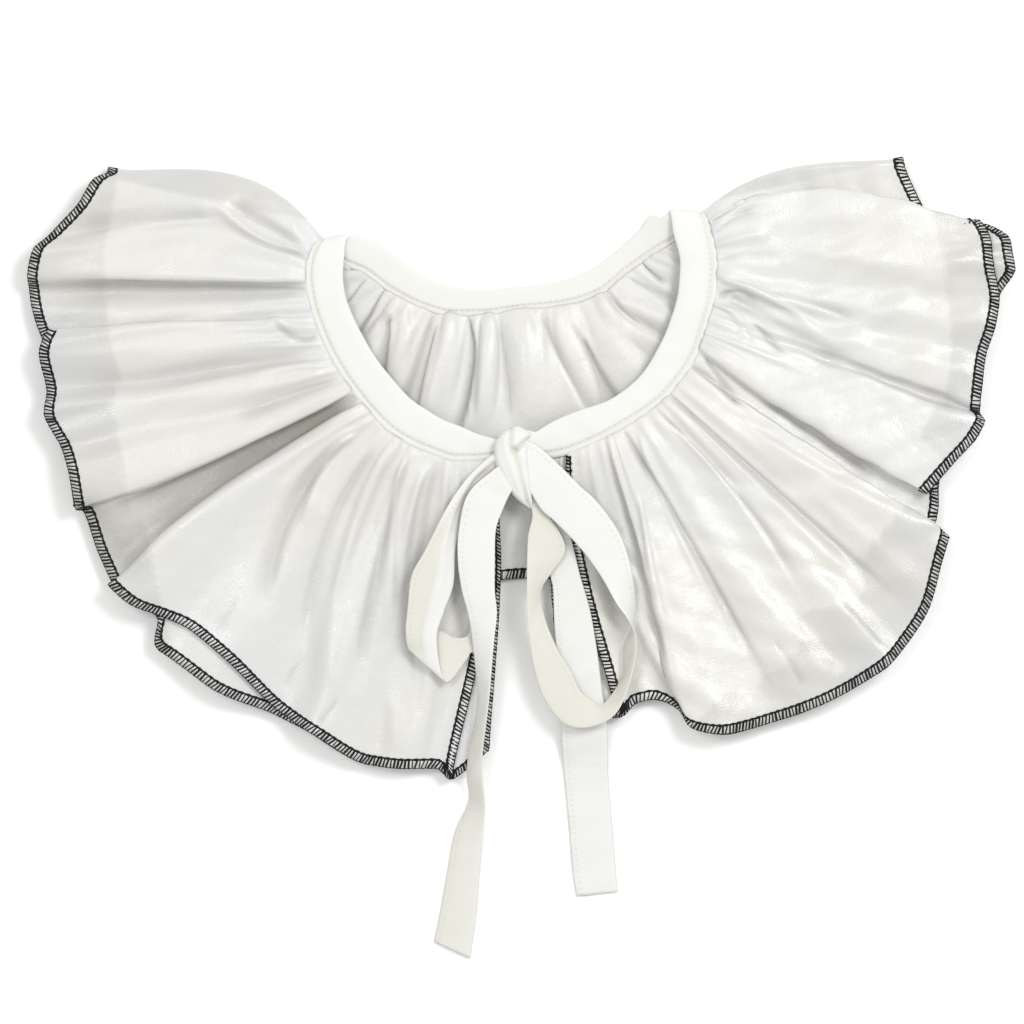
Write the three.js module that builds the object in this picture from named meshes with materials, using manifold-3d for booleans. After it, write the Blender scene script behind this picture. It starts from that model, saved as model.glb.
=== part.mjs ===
import * as THREE from 'three';
import { mergeVertices } from 'three/addons/utils/BufferGeometryUtils.js';
import Module from 'manifold-3d';

// Ruffle collar lying face up. Millimetres, +Z up, +Y towards the back of the neck, table at Z = 0.

// Thicknesses and gaps
const CLOTH = 1.0;
const LAYER_STEP = 1.9;
const EDGING_WIDTH = 3.6;
const EDGING_THICK = 1.3;
const BAND_THICK = 2.6;
const TIE_THICK = 1.4;
const GAP = 0.3;
const SEAM_GAP = 1.0;
const CORNER_GAP = 0.8;
const CORNER_SPAN = 12;

// Heights of the middle of the outer layer
const FRONT_LEVEL = 6.2;
const FOLD_LEVEL = 3.4;
const BACK_LEVEL = 0.65;
const SEAM_OFFSET = 0.6;
const SHOULDER = 2.2;
const SHOULDER_SEAM = 1.2;

// How the ruffle falls from the seam, as fractions of its depth
const FALL_END = 0.35;
const LIFT_POWER = 0.6;
const BOW_PEAK = 0.1859;
const REACH_START = 0.1;

// Mesh density
const COLUMN_STEP = 14;
const SHARED_DEPTHS = [0, 0.1, 0.24, 0.42, 0.62, 0.82];
const STRIP_CELLS = 2;
const SEAM_SAMPLES = 6;
const KNOT_SIDES = 20;

// Colours
const WHITE_ORGANZA = 0xf7f5f0;
const OFF_WHITE = 0xf1ede3;
const BLACK_THREAD = 0x17171a;

// Neckband stations from the left of the knot round to its right: seam edge, top edge, height
const BAND = table(['seamX', 'seamY', 'topX', 'topY', 'z'], [
  [-9.2, 40.4, -8.4, 48, 10.4],
  [-18, 39.2, -16.8, 50.4, 10],
  [-26, 39.2, -23.2, 53.2, 10],
  [-35.2, 42, -30.4, 56, 10],
  [-44, 45.6, -37.2, 60, 10],
  [-52, 50.4, -43.2, 64, 10],
  [-64, 62.8, -52, 73.6, 10],
  [-70.8, 72, -57.6, 80.8, 10],
  [-76.8, 82, -62.8, 89.6, 10],
  [-81.2, 92, -66.8, 97.6, 10],
  [-84.8, 103.2, -70, 106.8, 10],
  [-86.4, 114, -70.8, 114, 10],
  [-85.6, 120, -70.4, 120, 9.6],
  [-83.6, 124.8, -70, 125.6, 8.4],
  [-80.8, 128, -68.8, 130, 5.2],
  [-77.2, 122.8, -66.8, 130.6, 2.2],
  [-72, 118.4, -64, 130, 1.3],
  [-63.2, 114.4, -56.8, 127.6, 1.3],
  [-52, 106.4, -46.4, 119.2, 1.3],
  [-40, 100.4, -35.2, 112.4, 1.3],
  [-28, 97.2, -25.2, 109.2, 1.3],
  [-16, 97.2, -15.6, 108.4, 1.3],
  [0, 99.2, -0.4, 109.6, 1.3],
  [16, 100.8, 14.4, 111.6, 1.3],
  [32, 105.6, 28, 116.4, 1.3],
  [44, 114.8, 38, 123.6, 1.3],
  [56, 123.2, 48.8, 133.2, 1.3],
  [65.2, 128.8, 53.6, 138.8, 1.3],
  [70.8, 133.6, 56.8, 140.4, 2.2],
  [73.6, 138.8, 59.2, 141.2, 5.2],
  [76, 134.8, 60, 138, 8.4],
  [77.6, 129.6, 61.2, 131.2, 9.6],
  [79.2, 118, 64, 118.8, 10],
  [78.4, 106, 63.2, 107.2, 10],
  [75.2, 94, 60.4, 96.8, 10],
  [72.8, 86, 58, 90.4, 10],
  [69.2, 78, 54.8, 84, 10],
  [64.8, 72, 51.6, 78.4, 10],
  [60, 66, 48, 73.6, 10],
  [54, 60.8, 42.8, 68.8, 10],
  [42, 52.8, 34.8, 63.6, 10],
  [28, 45.6, 23.2, 59.6, 10],
  [16, 41.2, 12.8, 55.2, 10],
  [8, 40, 6.4, 51.2, 10.4],
]);
const LEFT_CORNER = 14;
const RIGHT_CORNER = 29;

// Folds of the left wing: distance along the seam from the knot, hem point, height of the crest,
// sideways bow of the fold line, how far the inner layer shows past the hem
const LEFT_FOLDS = table(['seam', 'x', 'y', 'lift', 'bow', 'under'], [
  [2, -13.2, -76, 0.5, 2, 0],
  [7.6, -27.6, -87.6, 1, 4.4, 0],
  [12.4, -33.6, -83.2, 0, 3, 0],
  [18.8, -45.6, -83.2, 3.5, 2, 0],
  [26, -60.8, -81.6, 1.5, 1, 0],
  [34, -80.8, -70.4, 8, 0, 0],
  [41, -96, -60.4, 2, 0, 2],
  [48, -117.6, -39.2, 7, -1, 13],
  [51, -134.4, -26, 5, -2, 14],
  [53, -144, -22, 6, -3, 1],
  [56, -155.2, -17.6, 8, -4, -1],
  [60, -164, -10, 7, -4, 0],
  [62, -162.8, -9.6, 1, -4, 0],
  [64.5, -168.8, 3.6, 0.5, -2, 0],
  [67, -174.4, 19.2, 1, 1, 0],
  [69, -176.8, 20, 7, 2, 0],
  [72, -180, 36, 8, 2, 0],
  [75, -183.2, 45.6, 5, 1, 0],
  [82, -189.6, 58.4, 8, 0, 0],
  [86, -188.8, 67.2, 4, 0, 0],
  [92, -191.6, 82.4, 8, 0, 0],
  [101, -188, 92.8, 6, 0, 0],
  [103, -190.4, 88.8, 1, 0, 0],
  [109, -194.4, 98.4, 1, 0, 0],
  [113, -196, 107.2, 0.5, 0, 0],
  [115, -196.4, 112.8, 6, 0, 0],
  [120, -194.4, 123.2, 7, -4, 0],
  [124.5, -186.8, 130.8, 5, -8, 0],
  [128, -176.8, 141.2, 7, -10, 0],
  [131.5, -170, 152.4, 4, -12, 0],
]);
const LEFT_FOLD_LINE = { x: -164.8, y: 157.2, bow: -14 };

// Gathers of the back part: distance along the seam from the left corner, hem point, height, reach
const BACK_FOLDS = table(['seam', 'x', 'y', 'lift', 'reach'], [
  [12, -164, 142, 2, 0.35],
  [19, -176, 122, 0, 0.35],
  [22, -183, 96, 3, 0.35],
  [25.5, -181.5, 75, 0, 0.35],
  [28.5, -177, 58, 3, 0.4],
  [31.5, -168, 42, 0, 0.4],
  [35, -158, 29, 3.5, 0.45],
  [39, -144, 16, 0, 0.45],
  [46, -118, 0, 7, 0.4],
  [55.5, -88, -12, 0, 0.45],
  [62, -60, -18, 9, 0.5],
  [69.5, -38, -16, 0, 0.5],
  [76, -20, -12, 9, 0.5],
  [82, -8, -7, 0, 0.5],
  [92, 4, -5, 9, 0.5],
  [101, 20, -8, 3, 0.5],
  [107, 40, -16, 9, 0.5],
  [114.5, 64, -20, 0, 0.5],
  [120, 90, -16, 7, 0.4],
  [125, 112, -6, 0, 0.5],
  [134, 136, 18, 3.5, 0.45],
  [143, 154, 48, 0, 0.4],
  [149, 164, 76, 3, 0.35],
  [156, 170, 104, 0, 0.35],
  [165, 168, 128, 2, 0.35],
  [172, 160, 144, 0, 0.35],
]);

// Folds of the right wing, counted from the knot outwards, with the same columns as the left wing
const RIGHT_FOLDS = table(['seam', 'x', 'y', 'lift', 'bow', 'under'], [
  [2, 18.4, -58.4, 0.5, -2, 0],
  [11, 39.2, -62.8, 1, -3, 0],
  [16, 46.4, -57.2, 0.5, -2, 0],
  [21, 54, -55.6, 0.5, -1, 0],
  [26, 62.8, -59.2, 1, 0, 0],
  [29, 66.8, -66, 6.5, 0, 0],
  [33, 80.8, -69.2, 8, 0, 0],
  [38, 104, -63.6, 3, 0, 0],
  [43, 119.2, -58, 7, 0, 0],
  [48, 132.8, -51.2, 5, 0, 0],
  [53, 148, -40.8, 8, 0, 0],
  [58, 154.4, -33.2, 5, 0, 0],
  [62, 163.2, -18.8, 6, 0, 0],
  [67, 168, -1.2, 7, 0, 0],
  [72, 171.2, 10.4, 6.5, 0, 0],
  [74, 165.6, 12.8, 1, 0, 0],
  [76, 167.2, 22, 0.5, 0, 0],
  [78, 166.4, 30.4, 1, 0, 0],
  [80, 162, 26.4, 6.5, 0, 0],
  [84, 172.8, 38.8, 7.5, 0, 0],
  [88, 182, 49.2, 7, 0, 0],
  [92, 185.6, 56.4, 6, 0, 0],
  [94.5, 183.4, 59, 3, 0, 0],
  [97, 183.4, 62, 6, 0, 0],
  [100, 184.4, 72, 7, 0, 0],
  [103.5, 186, 82, 4, 0, 0],
  [107, 189.6, 94, 7, 0, 0],
  [111, 191.2, 104.8, 5, 0, 0],
  [117, 188.8, 116.8, 8, 2, 8.5],
  [125, 187.6, 128, 6.5, 5, 8],
  [131, 182, 136.4, 6.5, 12.5, 0],
  [132.4, 176, 135.8, 1, 12, 0],
  [133.8, 164.5, 142.8, 0.5, 10.5, 0],
  [135.2, 157.6, 149.2, 0.5, 9.5, 0],
]);
const RIGHT_FOLD_LINE = { x: 153.2, y: 161.2, bow: 8.5 };

// Knot: height in the picture, left and right side, lower and upper side
const KNOT = table(['y', 'left', 'right', 'low', 'high'], [
  [52, -6.8, 8, 9, 16.5],
  [46, -10, 11.2, 7.5, 18.5],
  [40, -9.2, 10, 7.5, 18.5],
  [32, -6.8, 8, 7.8, 18],
  [25.2, -2.4, 6.4, 8.6, 16.5],
  [21.2, 3.2, 6.4, 9.6, 14],
]);

// Loops and hanging ends: one edge (a) and the other edge (b) of the folded strip, from the knot on
const STRIP_COLUMNS = ['ax', 'ay', 'az', 'bx', 'by', 'bz'];
const LOOP_LEFT = table(STRIP_COLUMNS, [
  [-8.6, 43, 14, -4, 38.4, 14],
  [-13.2, 40.4, 14.4, -8.4, 36, 14],
  [-21.6, 32, 15.8, -16.6, 30.4, 14],
  [-29.2, 20.8, 16.4, -21.6, 20, 14],
  [-37.6, 4.4, 17, -25.6, 4.4, 14.2],
  [-43.2, -6, 17, -26.6, -10, 14.6],
  [-44.8, -18.8, 16, -30.4, -20.8, 15],
  [-45.6, -29.6, 15, -32, -34, 15],
  [-43.2, -36, 12.6, -29.2, -49.2, 12.6],
  [-33.2, -28.8, 10.6, -19.6, -36, 10.6],
  [-27.2, -16, 11.4, -14.4, -20, 11.4],
  [-20.5, 0, 12, -11.4, -2.8, 12],
  [-15.5, 16, 12, -9.4, 13, 12],
  [-10.6, 30, 12, -5.4, 26, 12],
  [-5, 34.5, 12, -1, 30, 12],
]);
const LOOP_RIGHT = table(STRIP_COLUMNS, [
  [7, 46, 15.3, 0, 34, 15.3],
  [16.8, 36.8, 15.3, 8, 20.8, 15.3],
  [24, 29.6, 15.3, 13.2, 16, 15.3],
  [31.2, 22.8, 15.3, 20.4, 8.8, 15.3],
  [39.6, 10.8, 15, 27.2, 0.8, 15.6],
  [44, -2, 14, 33.2, -8, 16],
  [46, -14.8, 10, 38.4, -17.2, 17],
  [45.6, -24.8, 9, 43.6, -24.4, 18],
  [41.4, -34, 9, 46.4, -32, 17.5],
  [40.4, -47, 9.4, 44.8, -44.8, 16.5],
  [33.2, -57.4, 10.4, 38.8, -60.4, 15],
  [28.8, -56, 11, 28.8, -66.4, 13],
  [24, -52, 11.6, 18.4, -65.6, 12.2],
  [20, -43.6, 11.6, 10, -56, 12],
  [14.8, -35.2, 11.6, 5.6, -43.2, 12.6],
  [10, -23.2, 10.8, 3.2, -27.2, 14],
  [8.4, -12.8, 10, 2.8, -12.8, 15.6],
  [12.8, -4.8, 11.6, 2.8, 0, 15],
  [18, 3.2, 12.4, 3.2, 10, 14],
  [15.4, 12, 12.6, 4.8, 19.2, 13],
  [5, 26.4, 12.8, 0, 27.4, 12.8],
]);
const TIE_LEFT = table(STRIP_COLUMNS, [
  [-6.4, 38.4, 16.4, -1, 30.4, 16.4],
  [-10.6, 36, 16.6, -4, 26.4, 16.4],
  [-20.8, 26.4, 17, -7.2, 19.2, 16.6],
  [-24.4, 12, 17, -9.6, 12, 17],
  [-24.8, -0.4, 17, -10, -0.4, 17],
  [-23.2, -12, 16.4, -10, -12, 17],
  [-20.8, -21.2, 15.4, -9.2, -21.2, 17],
  [-19, -32.4, 13.4, -10.4, -33.2, 17.4],
  [-17.2, -56, 8, -12.4, -56, 17],
  [-20.4, -76, 7.6, -14.8, -76, 15.6],
  [-21.4, -86, 6.6, -15, -86, 13],
  [-20.8, -97, 1.2, -14, -98, 8.4],
  [-26, -109.2, 0.7, -14.8, -108, 4],
  [-29.6, -128.4, 0.7, -16.4, -128, 1.2],
  [-32, -142, 0.7, -17.2, -140, 0.7],
  [-34.4, -153.2, 0.7, -20, -160, 0.7],
]);
const TIE_RIGHT = table(STRIP_COLUMNS, [
  [0.4, 33, 10, 6.6, 33, 10],
  [6, 24, 9.5, 15.6, 24, 9.5],
  [12, -5.6, 9, 20.8, 7.2, 9.2],
  [13.2, -12, 8.9, 24, -6, 9],
  [13.6, -24, 8.8, 28, -20, 8.8],
  [14.4, -35.2, 8.6, 30.8, -36, 8.6],
  [15.2, -52, 8.2, 32.8, -52, 8.2],
  [16.4, -66.4, 6.4, 34.8, -66.4, 6.4],
  [17.2, -78.8, 2.4, 35.2, -80, 2.4],
  [17.8, -86.4, 0.7, 35.4, -87, 0.7],
  [20, -109.2, 0.7, 37.2, -109.2, 0.7],
  [21.2, -124.4, 0.7, 38.4, -124.4, 0.7],
  [22.8, -134.8, 0.7, 39.2, -133.2, 0.7],
]);

function table(names, rows) {
  return rows.map((row) => Object.fromEntries(names.map((name, i) => [name, row[i]])));
}

function smoothstep(from, to, value) {
  const t = Math.min(Math.max((value - from) / (to - from), 0), 1);
  return t * t * (3 - 2 * t);
}

// Slope at row k that never overshoots the neighbouring rows
function slopeAt(rows, name, k) {
  const last = rows.length - 1;
  if (k === 0) return rows[1][name] - rows[0][name];
  if (k === last) return rows[last][name] - rows[last - 1][name];
  const before = rows[k][name] - rows[k - 1][name];
  const after = rows[k + 1][name] - rows[k][name];
  return before * after <= 0 ? 0 : (2 * before * after) / (before + after);
}

// Row between two rows of a table, t counted in rows
function rowAt(rows, t) {
  const i = Math.min(Math.floor(t), rows.length - 2);
  const f = t - i;
  const row = {};
  for (const name of Object.keys(rows[0])) {
    const a = rows[i][name];
    const b = rows[i + 1][name];
    const s = f * f * (3 - 2 * f);
    const start = slopeAt(rows, name, i) * f * (1 - f) * (1 - f);
    const end = slopeAt(rows, name, i + 1) * f * f * (1 - f);
    row[name] = a + (b - a) * s + start - end;
  }
  return row;
}

// Length of the seam edge of the band up to every sampled station
function measureSeam() {
  const marks = [{ t: 0, length: 0, row: BAND[0] }];
  for (let k = 1; k <= (BAND.length - 1) * SEAM_SAMPLES; k += 1) {
    const t = k / SEAM_SAMPLES;
    const row = rowAt(BAND, t);
    const before = marks[marks.length - 1];
    const step = Math.hypot(row.seamX - before.row.seamX, row.seamY - before.row.seamY);
    marks.push({ t, length: before.length + step, row });
  }
  return marks;
}

const SEAM = measureSeam();
const SEAM_LENGTH = SEAM[SEAM.length - 1].length;
const LEFT_CORNER_SEAM = SEAM[LEFT_CORNER * SEAM_SAMPLES].length;
const RIGHT_CORNER_SEAM = SEAM[RIGHT_CORNER * SEAM_SAMPLES].length;

// Point just below the seam edge at a distance along it, with the height of the band there
function seamAt(length) {
  const k = Math.max(1, SEAM.findIndex((mark) => mark.length >= length));
  const f = (length - SEAM[k - 1].length) / (SEAM[k].length - SEAM[k - 1].length);
  const row = rowAt(BAND, SEAM[k - 1].t + f / SEAM_SAMPLES);
  const fromCorner = Math.min(Math.abs(length - LEFT_CORNER_SEAM), Math.abs(length - RIGHT_CORNER_SEAM));
  const gap = SEAM_GAP + CORNER_GAP * (1 - smoothstep(0, CORNER_SPAN, fromCorner));
  const out = new THREE.Vector2(row.seamX - row.topX, row.seamY - row.topY).setLength(gap);
  return { x: row.seamX + out.x, y: row.seamY + out.y, z: row.z };
}

// Line where the ruffle folds under itself, with a shoulder line above and one below it
function foldOver(line, cornerSeam, turn) {
  const base = { reach: 9, lift: 0, under: 0, bow: line.bow };
  const seams = [-turn * SHOULDER_SEAM, 0, turn * SHOULDER_SEAM].map((step) => cornerSeam + step);
  const rows = [
    { ...base, x: line.x, y: line.y - SHOULDER, level: FRONT_LEVEL, facing: 1, seam: seams[0] },
    { ...base, x: line.x, y: line.y, level: FOLD_LEVEL, facing: 0, seam: seams[1] },
    { ...base, x: line.x, y: line.y - SHOULDER, level: BACK_LEVEL, facing: -1, seam: seams[2] },
  ];
  return turn > 0 ? rows : rows.reverse();
}

// All folds of the gathered strip in one list, from the left end round to the right end
function gatherFolds() {
  const front = { level: FRONT_LEVEL, facing: 1, reach: 9 };
  const back = { level: BACK_LEVEL, facing: -1, bow: 0, under: 0 };
  return [
    ...LEFT_FOLDS.map((row) => ({ ...front, ...row })),
    ...foldOver(LEFT_FOLD_LINE, LEFT_CORNER_SEAM, 1),
    ...BACK_FOLDS.map((row) => ({ ...back, ...row, seam: LEFT_CORNER_SEAM + row.seam })),
    ...foldOver(RIGHT_FOLD_LINE, RIGHT_CORNER_SEAM, -1),
    ...RIGHT_FOLDS.map((row) => ({ ...front, ...row, seam: SEAM_LENGTH - row.seam })).reverse(),
  ];
}

const FOLDS = gatherFolds();

// Point of a fold line, depth 0 at the seam and 1 at the hem
function foldPoint(fold, depth) {
  const start = seamAt(fold.seam);
  const dx = fold.x - start.x;
  const dy = fold.y - start.y;
  const size = Math.hypot(dx, dy);
  const v = Math.min(Math.max(depth, 0), 1);
  const bow = (fold.bow * v * Math.pow(1 - v, 1.5)) / BOW_PEAK;
  const seamZ = start.z + SEAM_OFFSET * fold.facing;
  const fall = fold.level + (seamZ - fold.level) * (1 - smoothstep(0, FALL_END, v));
  const crest = fold.lift * Math.pow(v, LIFT_POWER) * (1 - smoothstep(REACH_START, fold.reach, v));
  return new THREE.Vector3(
    start.x + dx * depth - (dy / size) * bow,
    start.y + dy * depth + (dx / size) * bow,
    fall + crest,
  );
}

function foldDepth(fold) {
  const start = seamAt(fold.seam);
  return Math.hypot(fold.x - start.x, fold.y - start.y);
}

// Positions of the mesh columns, counted in folds, closer where the hem points lie far apart
function columnPositions(first, last) {
  const positions = [];
  for (let i = first; i < last; i += 1) {
    const front = FOLDS[i].level === FRONT_LEVEL && FOLDS[i + 1].level === FRONT_LEVEL;
    const apart = Math.hypot(FOLDS[i + 1].x - FOLDS[i].x, FOLDS[i + 1].y - FOLDS[i].y);
    const atEnd = i === first || i === last - 1;
    const steps = front && !atEnd ? Math.ceil(apart / COLUMN_STEP) : 1;
    for (let k = 0; k < steps; k += 1) positions.push(i + k / steps);
  }
  positions.push(last);
  return positions;
}

// Fold position whose line lies a given width inside the end of the strip at this depth
function insetPosition(end, inward, width, depthOf) {
  const start = foldPoint(FOLDS[end], depthOf(FOLDS[end]));
  let near = 0;
  let far = 1;
  for (let k = 0; k < 24; k += 1) {
    const middle = (near + far) / 2;
    const fold = rowAt(FOLDS, end + inward * middle);
    const apart = foldPoint(fold, depthOf(fold)).distanceTo(start);
    if (apart < width) near = middle;
    else far = middle;
  }
  return end + inward * near;
}

// Grid of points of one layer: columns along the strip, rows from the seam to the hem
function layerGrid(first, last, shows) {
  const hemDepth = (fold, back) => 1 + (shows * fold.under - back) / foldDepth(fold);
  const rows = [
    ...SHARED_DEPTHS.map((depth) => () => depth),
    (fold) => hemDepth(fold, EDGING_WIDTH + GAP),
    (fold) => hemDepth(fold, EDGING_WIDTH),
    (fold) => hemDepth(fold, 0),
  ];
  const inner = columnPositions(first, last).slice(1, -1);
  const pointAt = (t, depthOf) => {
    const fold = rowAt(FOLDS, t);
    return foldPoint(fold, depthOf(fold));
  };
  const endColumns = (end, inward) => [0, EDGING_WIDTH, EDGING_WIDTH + GAP].map((width) => rows.map(
    (depthOf) => pointAt(width === 0 ? end : insetPosition(end, inward, width, depthOf), depthOf),
  ));
  return [
    ...endColumns(first, 1),
    ...inner.map((t) => rows.map((depthOf) => pointAt(t, depthOf))),
    ...endColumns(last, -1).reverse(),
  ];
}

// Directions across the sheet at every grid point, lengthened so that offset facets stay parallel
function gridNormals(grid) {
  const faces = [];
  for (let i = 0; i < grid.length - 1; i += 1) {
    faces.push([]);
    for (let j = 0; j < grid[0].length - 1; j += 1) {
      const a = new THREE.Vector3().subVectors(grid[i + 1][j + 1], grid[i][j]);
      const b = new THREE.Vector3().subVectors(grid[i][j + 1], grid[i + 1][j]);
      faces[i].push(a.cross(b).normalize());
    }
  }
  return grid.map((column, i) => column.map((_, j) => {
    const around = [[i - 1, j - 1], [i - 1, j], [i, j - 1], [i, j]]
      .filter(([a, b]) => faces[a] !== undefined && faces[a][b] !== undefined)
      .map(([a, b]) => faces[a][b]);
    const normal = around.reduce((sum, face) => sum.add(face), new THREE.Vector3()).normalize();
    const lean = around.reduce((sum, face) => sum + face.dot(normal), 0) / around.length;
    return normal.multiplyScalar(1 / Math.max(lean, 0.5));
  }));
}

// Sheet end and edging side by side share one direction, so that the gap between them stays even
function alignBorder(normals) {
  const lastI = normals.length - 1;
  const lastJ = normals[0].length - 1;
  for (const column of normals) column[lastJ - 2] = column[lastJ - 1];
  normals[2] = normals[1];
  normals[lastI - 2] = normals[lastI - 1];
  return normals;
}

function offsetGrid(grid, normals, distance) {
  return grid.map((column, i) => column.map(
    (point, j) => point.clone().addScaledVector(normals[i][j], distance),
  ));
}

// Closed solid from triangles given as point triples
function solid(triangles) {
  const geometry = new THREE.BufferGeometry();
  const numbers = triangles.flatMap((triangle) => triangle.flatMap((p) => [p.x, p.y, p.z]));
  geometry.setAttribute('position', new THREE.Float32BufferAttribute(numbers, 3));
  return geometry;
}

// Solid between an upper and a lower grid, closed by walls round its border; the walls are split the
// same way on both sides of a gap
function closedSheet(upper, lower) {
  const lastI = upper.length - 1;
  const lastJ = upper[0].length - 1;
  const triangles = [];
  for (let i = 0; i < lastI; i += 1) {
    for (let j = 0; j < lastJ; j += 1) {
      triangles.push([upper[i][j], upper[i + 1][j], upper[i + 1][j + 1]]);
      triangles.push([upper[i][j], upper[i + 1][j + 1], upper[i][j + 1]]);
      triangles.push([lower[i][j], lower[i + 1][j + 1], lower[i + 1][j]]);
      triangles.push([lower[i][j], lower[i][j + 1], lower[i + 1][j + 1]]);
    }
  }
  const border = [];
  for (let i = 0; i < lastI; i += 1) border.push([i, 0]);
  for (let j = 0; j < lastJ; j += 1) border.push([lastI, j]);
  for (let i = lastI; i > 0; i -= 1) border.push([i, lastJ]);
  for (let j = lastJ; j > 0; j -= 1) border.push([0, j]);
  border.forEach(([i, j], k) => {
    const [m, n] = border[(k + 1) % border.length];
    if (m + n > i + j) {
      triangles.push([upper[m][n], upper[i][j], lower[i][j]]);
      triangles.push([upper[m][n], lower[i][j], lower[m][n]]);
    } else {
      triangles.push([upper[m][n], upper[i][j], lower[m][n]]);
      triangles.push([upper[i][j], lower[i][j], lower[m][n]]);
    }
  });
  return solid(triangles);
}

function trimmed(grid, side) {
  return grid.slice(side, grid.length - side).map((column) => column.slice(0, column.length - side));
}

// Sheet of one layer, stopping short of its edging
function layerSheet(grid, normals) {
  const upper = offsetGrid(grid, normals, CLOTH / 2);
  const lower = offsetGrid(grid, normals, -CLOTH / 2);
  return closedSheet(trimmed(upper, 2), trimmed(lower, 2));
}

// Edging of one layer: up the left end, along the hem, down the right end
function layerEdging(grid, normals) {
  const lastI = grid.length - 1;
  const lastJ = grid[0].length - 1;
  const path = [];
  for (let j = 0; j < lastJ - 2; j += 1) path.push([[1, j], [0, j]]);
  path.push([[1, lastJ - 1], [0, lastJ]]);
  for (let i = 3; i < lastI - 2; i += 1) path.push([[i, lastJ - 1], [i, lastJ]]);
  path.push([[lastI - 1, lastJ - 1], [lastI, lastJ]]);
  for (let j = lastJ - 3; j >= 0; j -= 1) path.push([[lastI - 1, j], [lastI, j]]);
  const side = (distance) => {
    const points = offsetGrid(grid, normals, distance);
    return path.map((pair) => pair.map(([i, j]) => points[i][j]));
  };
  return closedSheet(side(EDGING_THICK / 2), side(-EDGING_THICK / 2));
}

// Outer layer of the ruffle and the one beneath it, on its inner side
function ruffleLayers() {
  const last = FOLDS.length - 1;
  const outer = layerGrid(1, last - 1, 0);
  const outerNormals = alignBorder(gridNormals(outer));
  const middle = layerGrid(0, last, 1);
  const inner = offsetGrid(middle, gridNormals(middle), -LAYER_STEP);
  const innerNormals = alignBorder(gridNormals(inner));
  return {
    outerSheet: layerSheet(outer, outerNormals),
    outerEdging: layerEdging(outer, outerNormals),
    innerSheet: layerSheet(inner, innerNormals),
    innerEdging: layerEdging(inner, innerNormals),
  };
}

// Strip of cloth between two edge lines, each station given by its two edge points
function strip(stations, thick) {
  const grid = stations.map(([a, b]) => {
    const across = [];
    for (let k = 0; k <= STRIP_CELLS; k += 1) {
      across.push(new THREE.Vector3().lerpVectors(a, b, k / STRIP_CELLS));
    }
    return across;
  });
  const normals = gridNormals(grid);
  return closedSheet(offsetGrid(grid, normals, thick / 2), offsetGrid(grid, normals, -thick / 2));
}

function neckband() {
  const stations = BAND.map((row) => [
    new THREE.Vector3(row.topX, row.topY, row.z),
    new THREE.Vector3(row.seamX, row.seamY, row.z),
  ]);
  return strip(stations, BAND_THICK);
}

function bowStrip(rows) {
  const stations = rows.map((row) => [
    new THREE.Vector3(row.ax, row.ay, row.az),
    new THREE.Vector3(row.bx, row.by, row.bz),
  ]);
  return strip(stations, TIE_THICK);
}

// Knot lofted through rounded sections, larger by a margin on all sides
function knot(margin) {
  const sections = KNOT.map((row, k) => {
    const past = k === 0 ? margin : k === KNOT.length - 1 ? -margin : 0;
    const centre = new THREE.Vector3((row.left + row.right) / 2, row.y + past, (row.low + row.high) / 2);
    const ring = [];
    for (let i = 0; i < KNOT_SIDES; i += 1) {
      const angle = (2 * Math.PI * i) / KNOT_SIDES;
      const squareness = Math.pow(Math.abs(Math.cos(angle)), 4) + Math.pow(Math.abs(Math.sin(angle)), 4);
      const radius = Math.pow(squareness, -0.25);
      const halfWidth = (row.right - row.left) / 2 + margin;
      const halfHeight = (row.high - row.low) / 2 + margin;
      ring.push(new THREE.Vector3(
        centre.x + halfWidth * radius * Math.cos(angle),
        centre.y,
        centre.z + halfHeight * radius * Math.sin(angle),
      ));
    }
    return { centre, ring };
  });
  const triangles = [];
  for (let k = 0; k < sections.length - 1; k += 1) {
    for (let i = 0; i < KNOT_SIDES; i += 1) {
      const n = (i + 1) % KNOT_SIDES;
      const [a, b] = [sections[k].ring[i], sections[k].ring[n]];
      const [c, d] = [sections[k + 1].ring[i], sections[k + 1].ring[n]];
      triangles.push([a, b, c], [b, d, c]);
    }
  }
  const top = sections[0];
  const bottom = sections[sections.length - 1];
  for (let i = 0; i < KNOT_SIDES; i += 1) {
    const n = (i + 1) % KNOT_SIDES;
    triangles.push([top.centre, top.ring[n], top.ring[i]]);
    triangles.push([bottom.centre, bottom.ring[i], bottom.ring[n]]);
  }
  return solid(triangles);
}

const wasm = await Module();
wasm.setup();

function toManifold(geometry) {
  const bare = geometry.clone();
  bare.deleteAttribute('normal');
  bare.deleteAttribute('uv');
  const merged = mergeVertices(bare, 1e-4);
  const mesh = new wasm.Mesh({
    numProp: 3,
    vertProperties: new Float32Array(merged.attributes.position.array),
    triVerts: new Uint32Array(merged.index.array),
  });
  return new wasm.Manifold(mesh);
}

function toGeometry(manifold) {
  const mesh = manifold.getMesh();
  const geometry = new THREE.BufferGeometry();
  geometry.setAttribute('position', new THREE.Float32BufferAttribute(mesh.vertProperties, 3));
  geometry.setIndex(new THREE.Uint32BufferAttribute(mesh.triVerts, 1));
  return geometry.toNonIndexed();
}

// Piece cut back so that it stops just short of the knot
function cutAtKnot(geometry) {
  return toGeometry(toManifold(geometry).subtract(toManifold(knot(GAP))));
}

function addPiece(group, name, geometry, colour, roughness) {
  geometry.computeVertexNormals();
  const material = new THREE.MeshStandardMaterial({ color: colour, roughness, metalness: 0 });
  const mesh = new THREE.Mesh(geometry, material);
  mesh.name = name;
  group.add(mesh);
}

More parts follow.
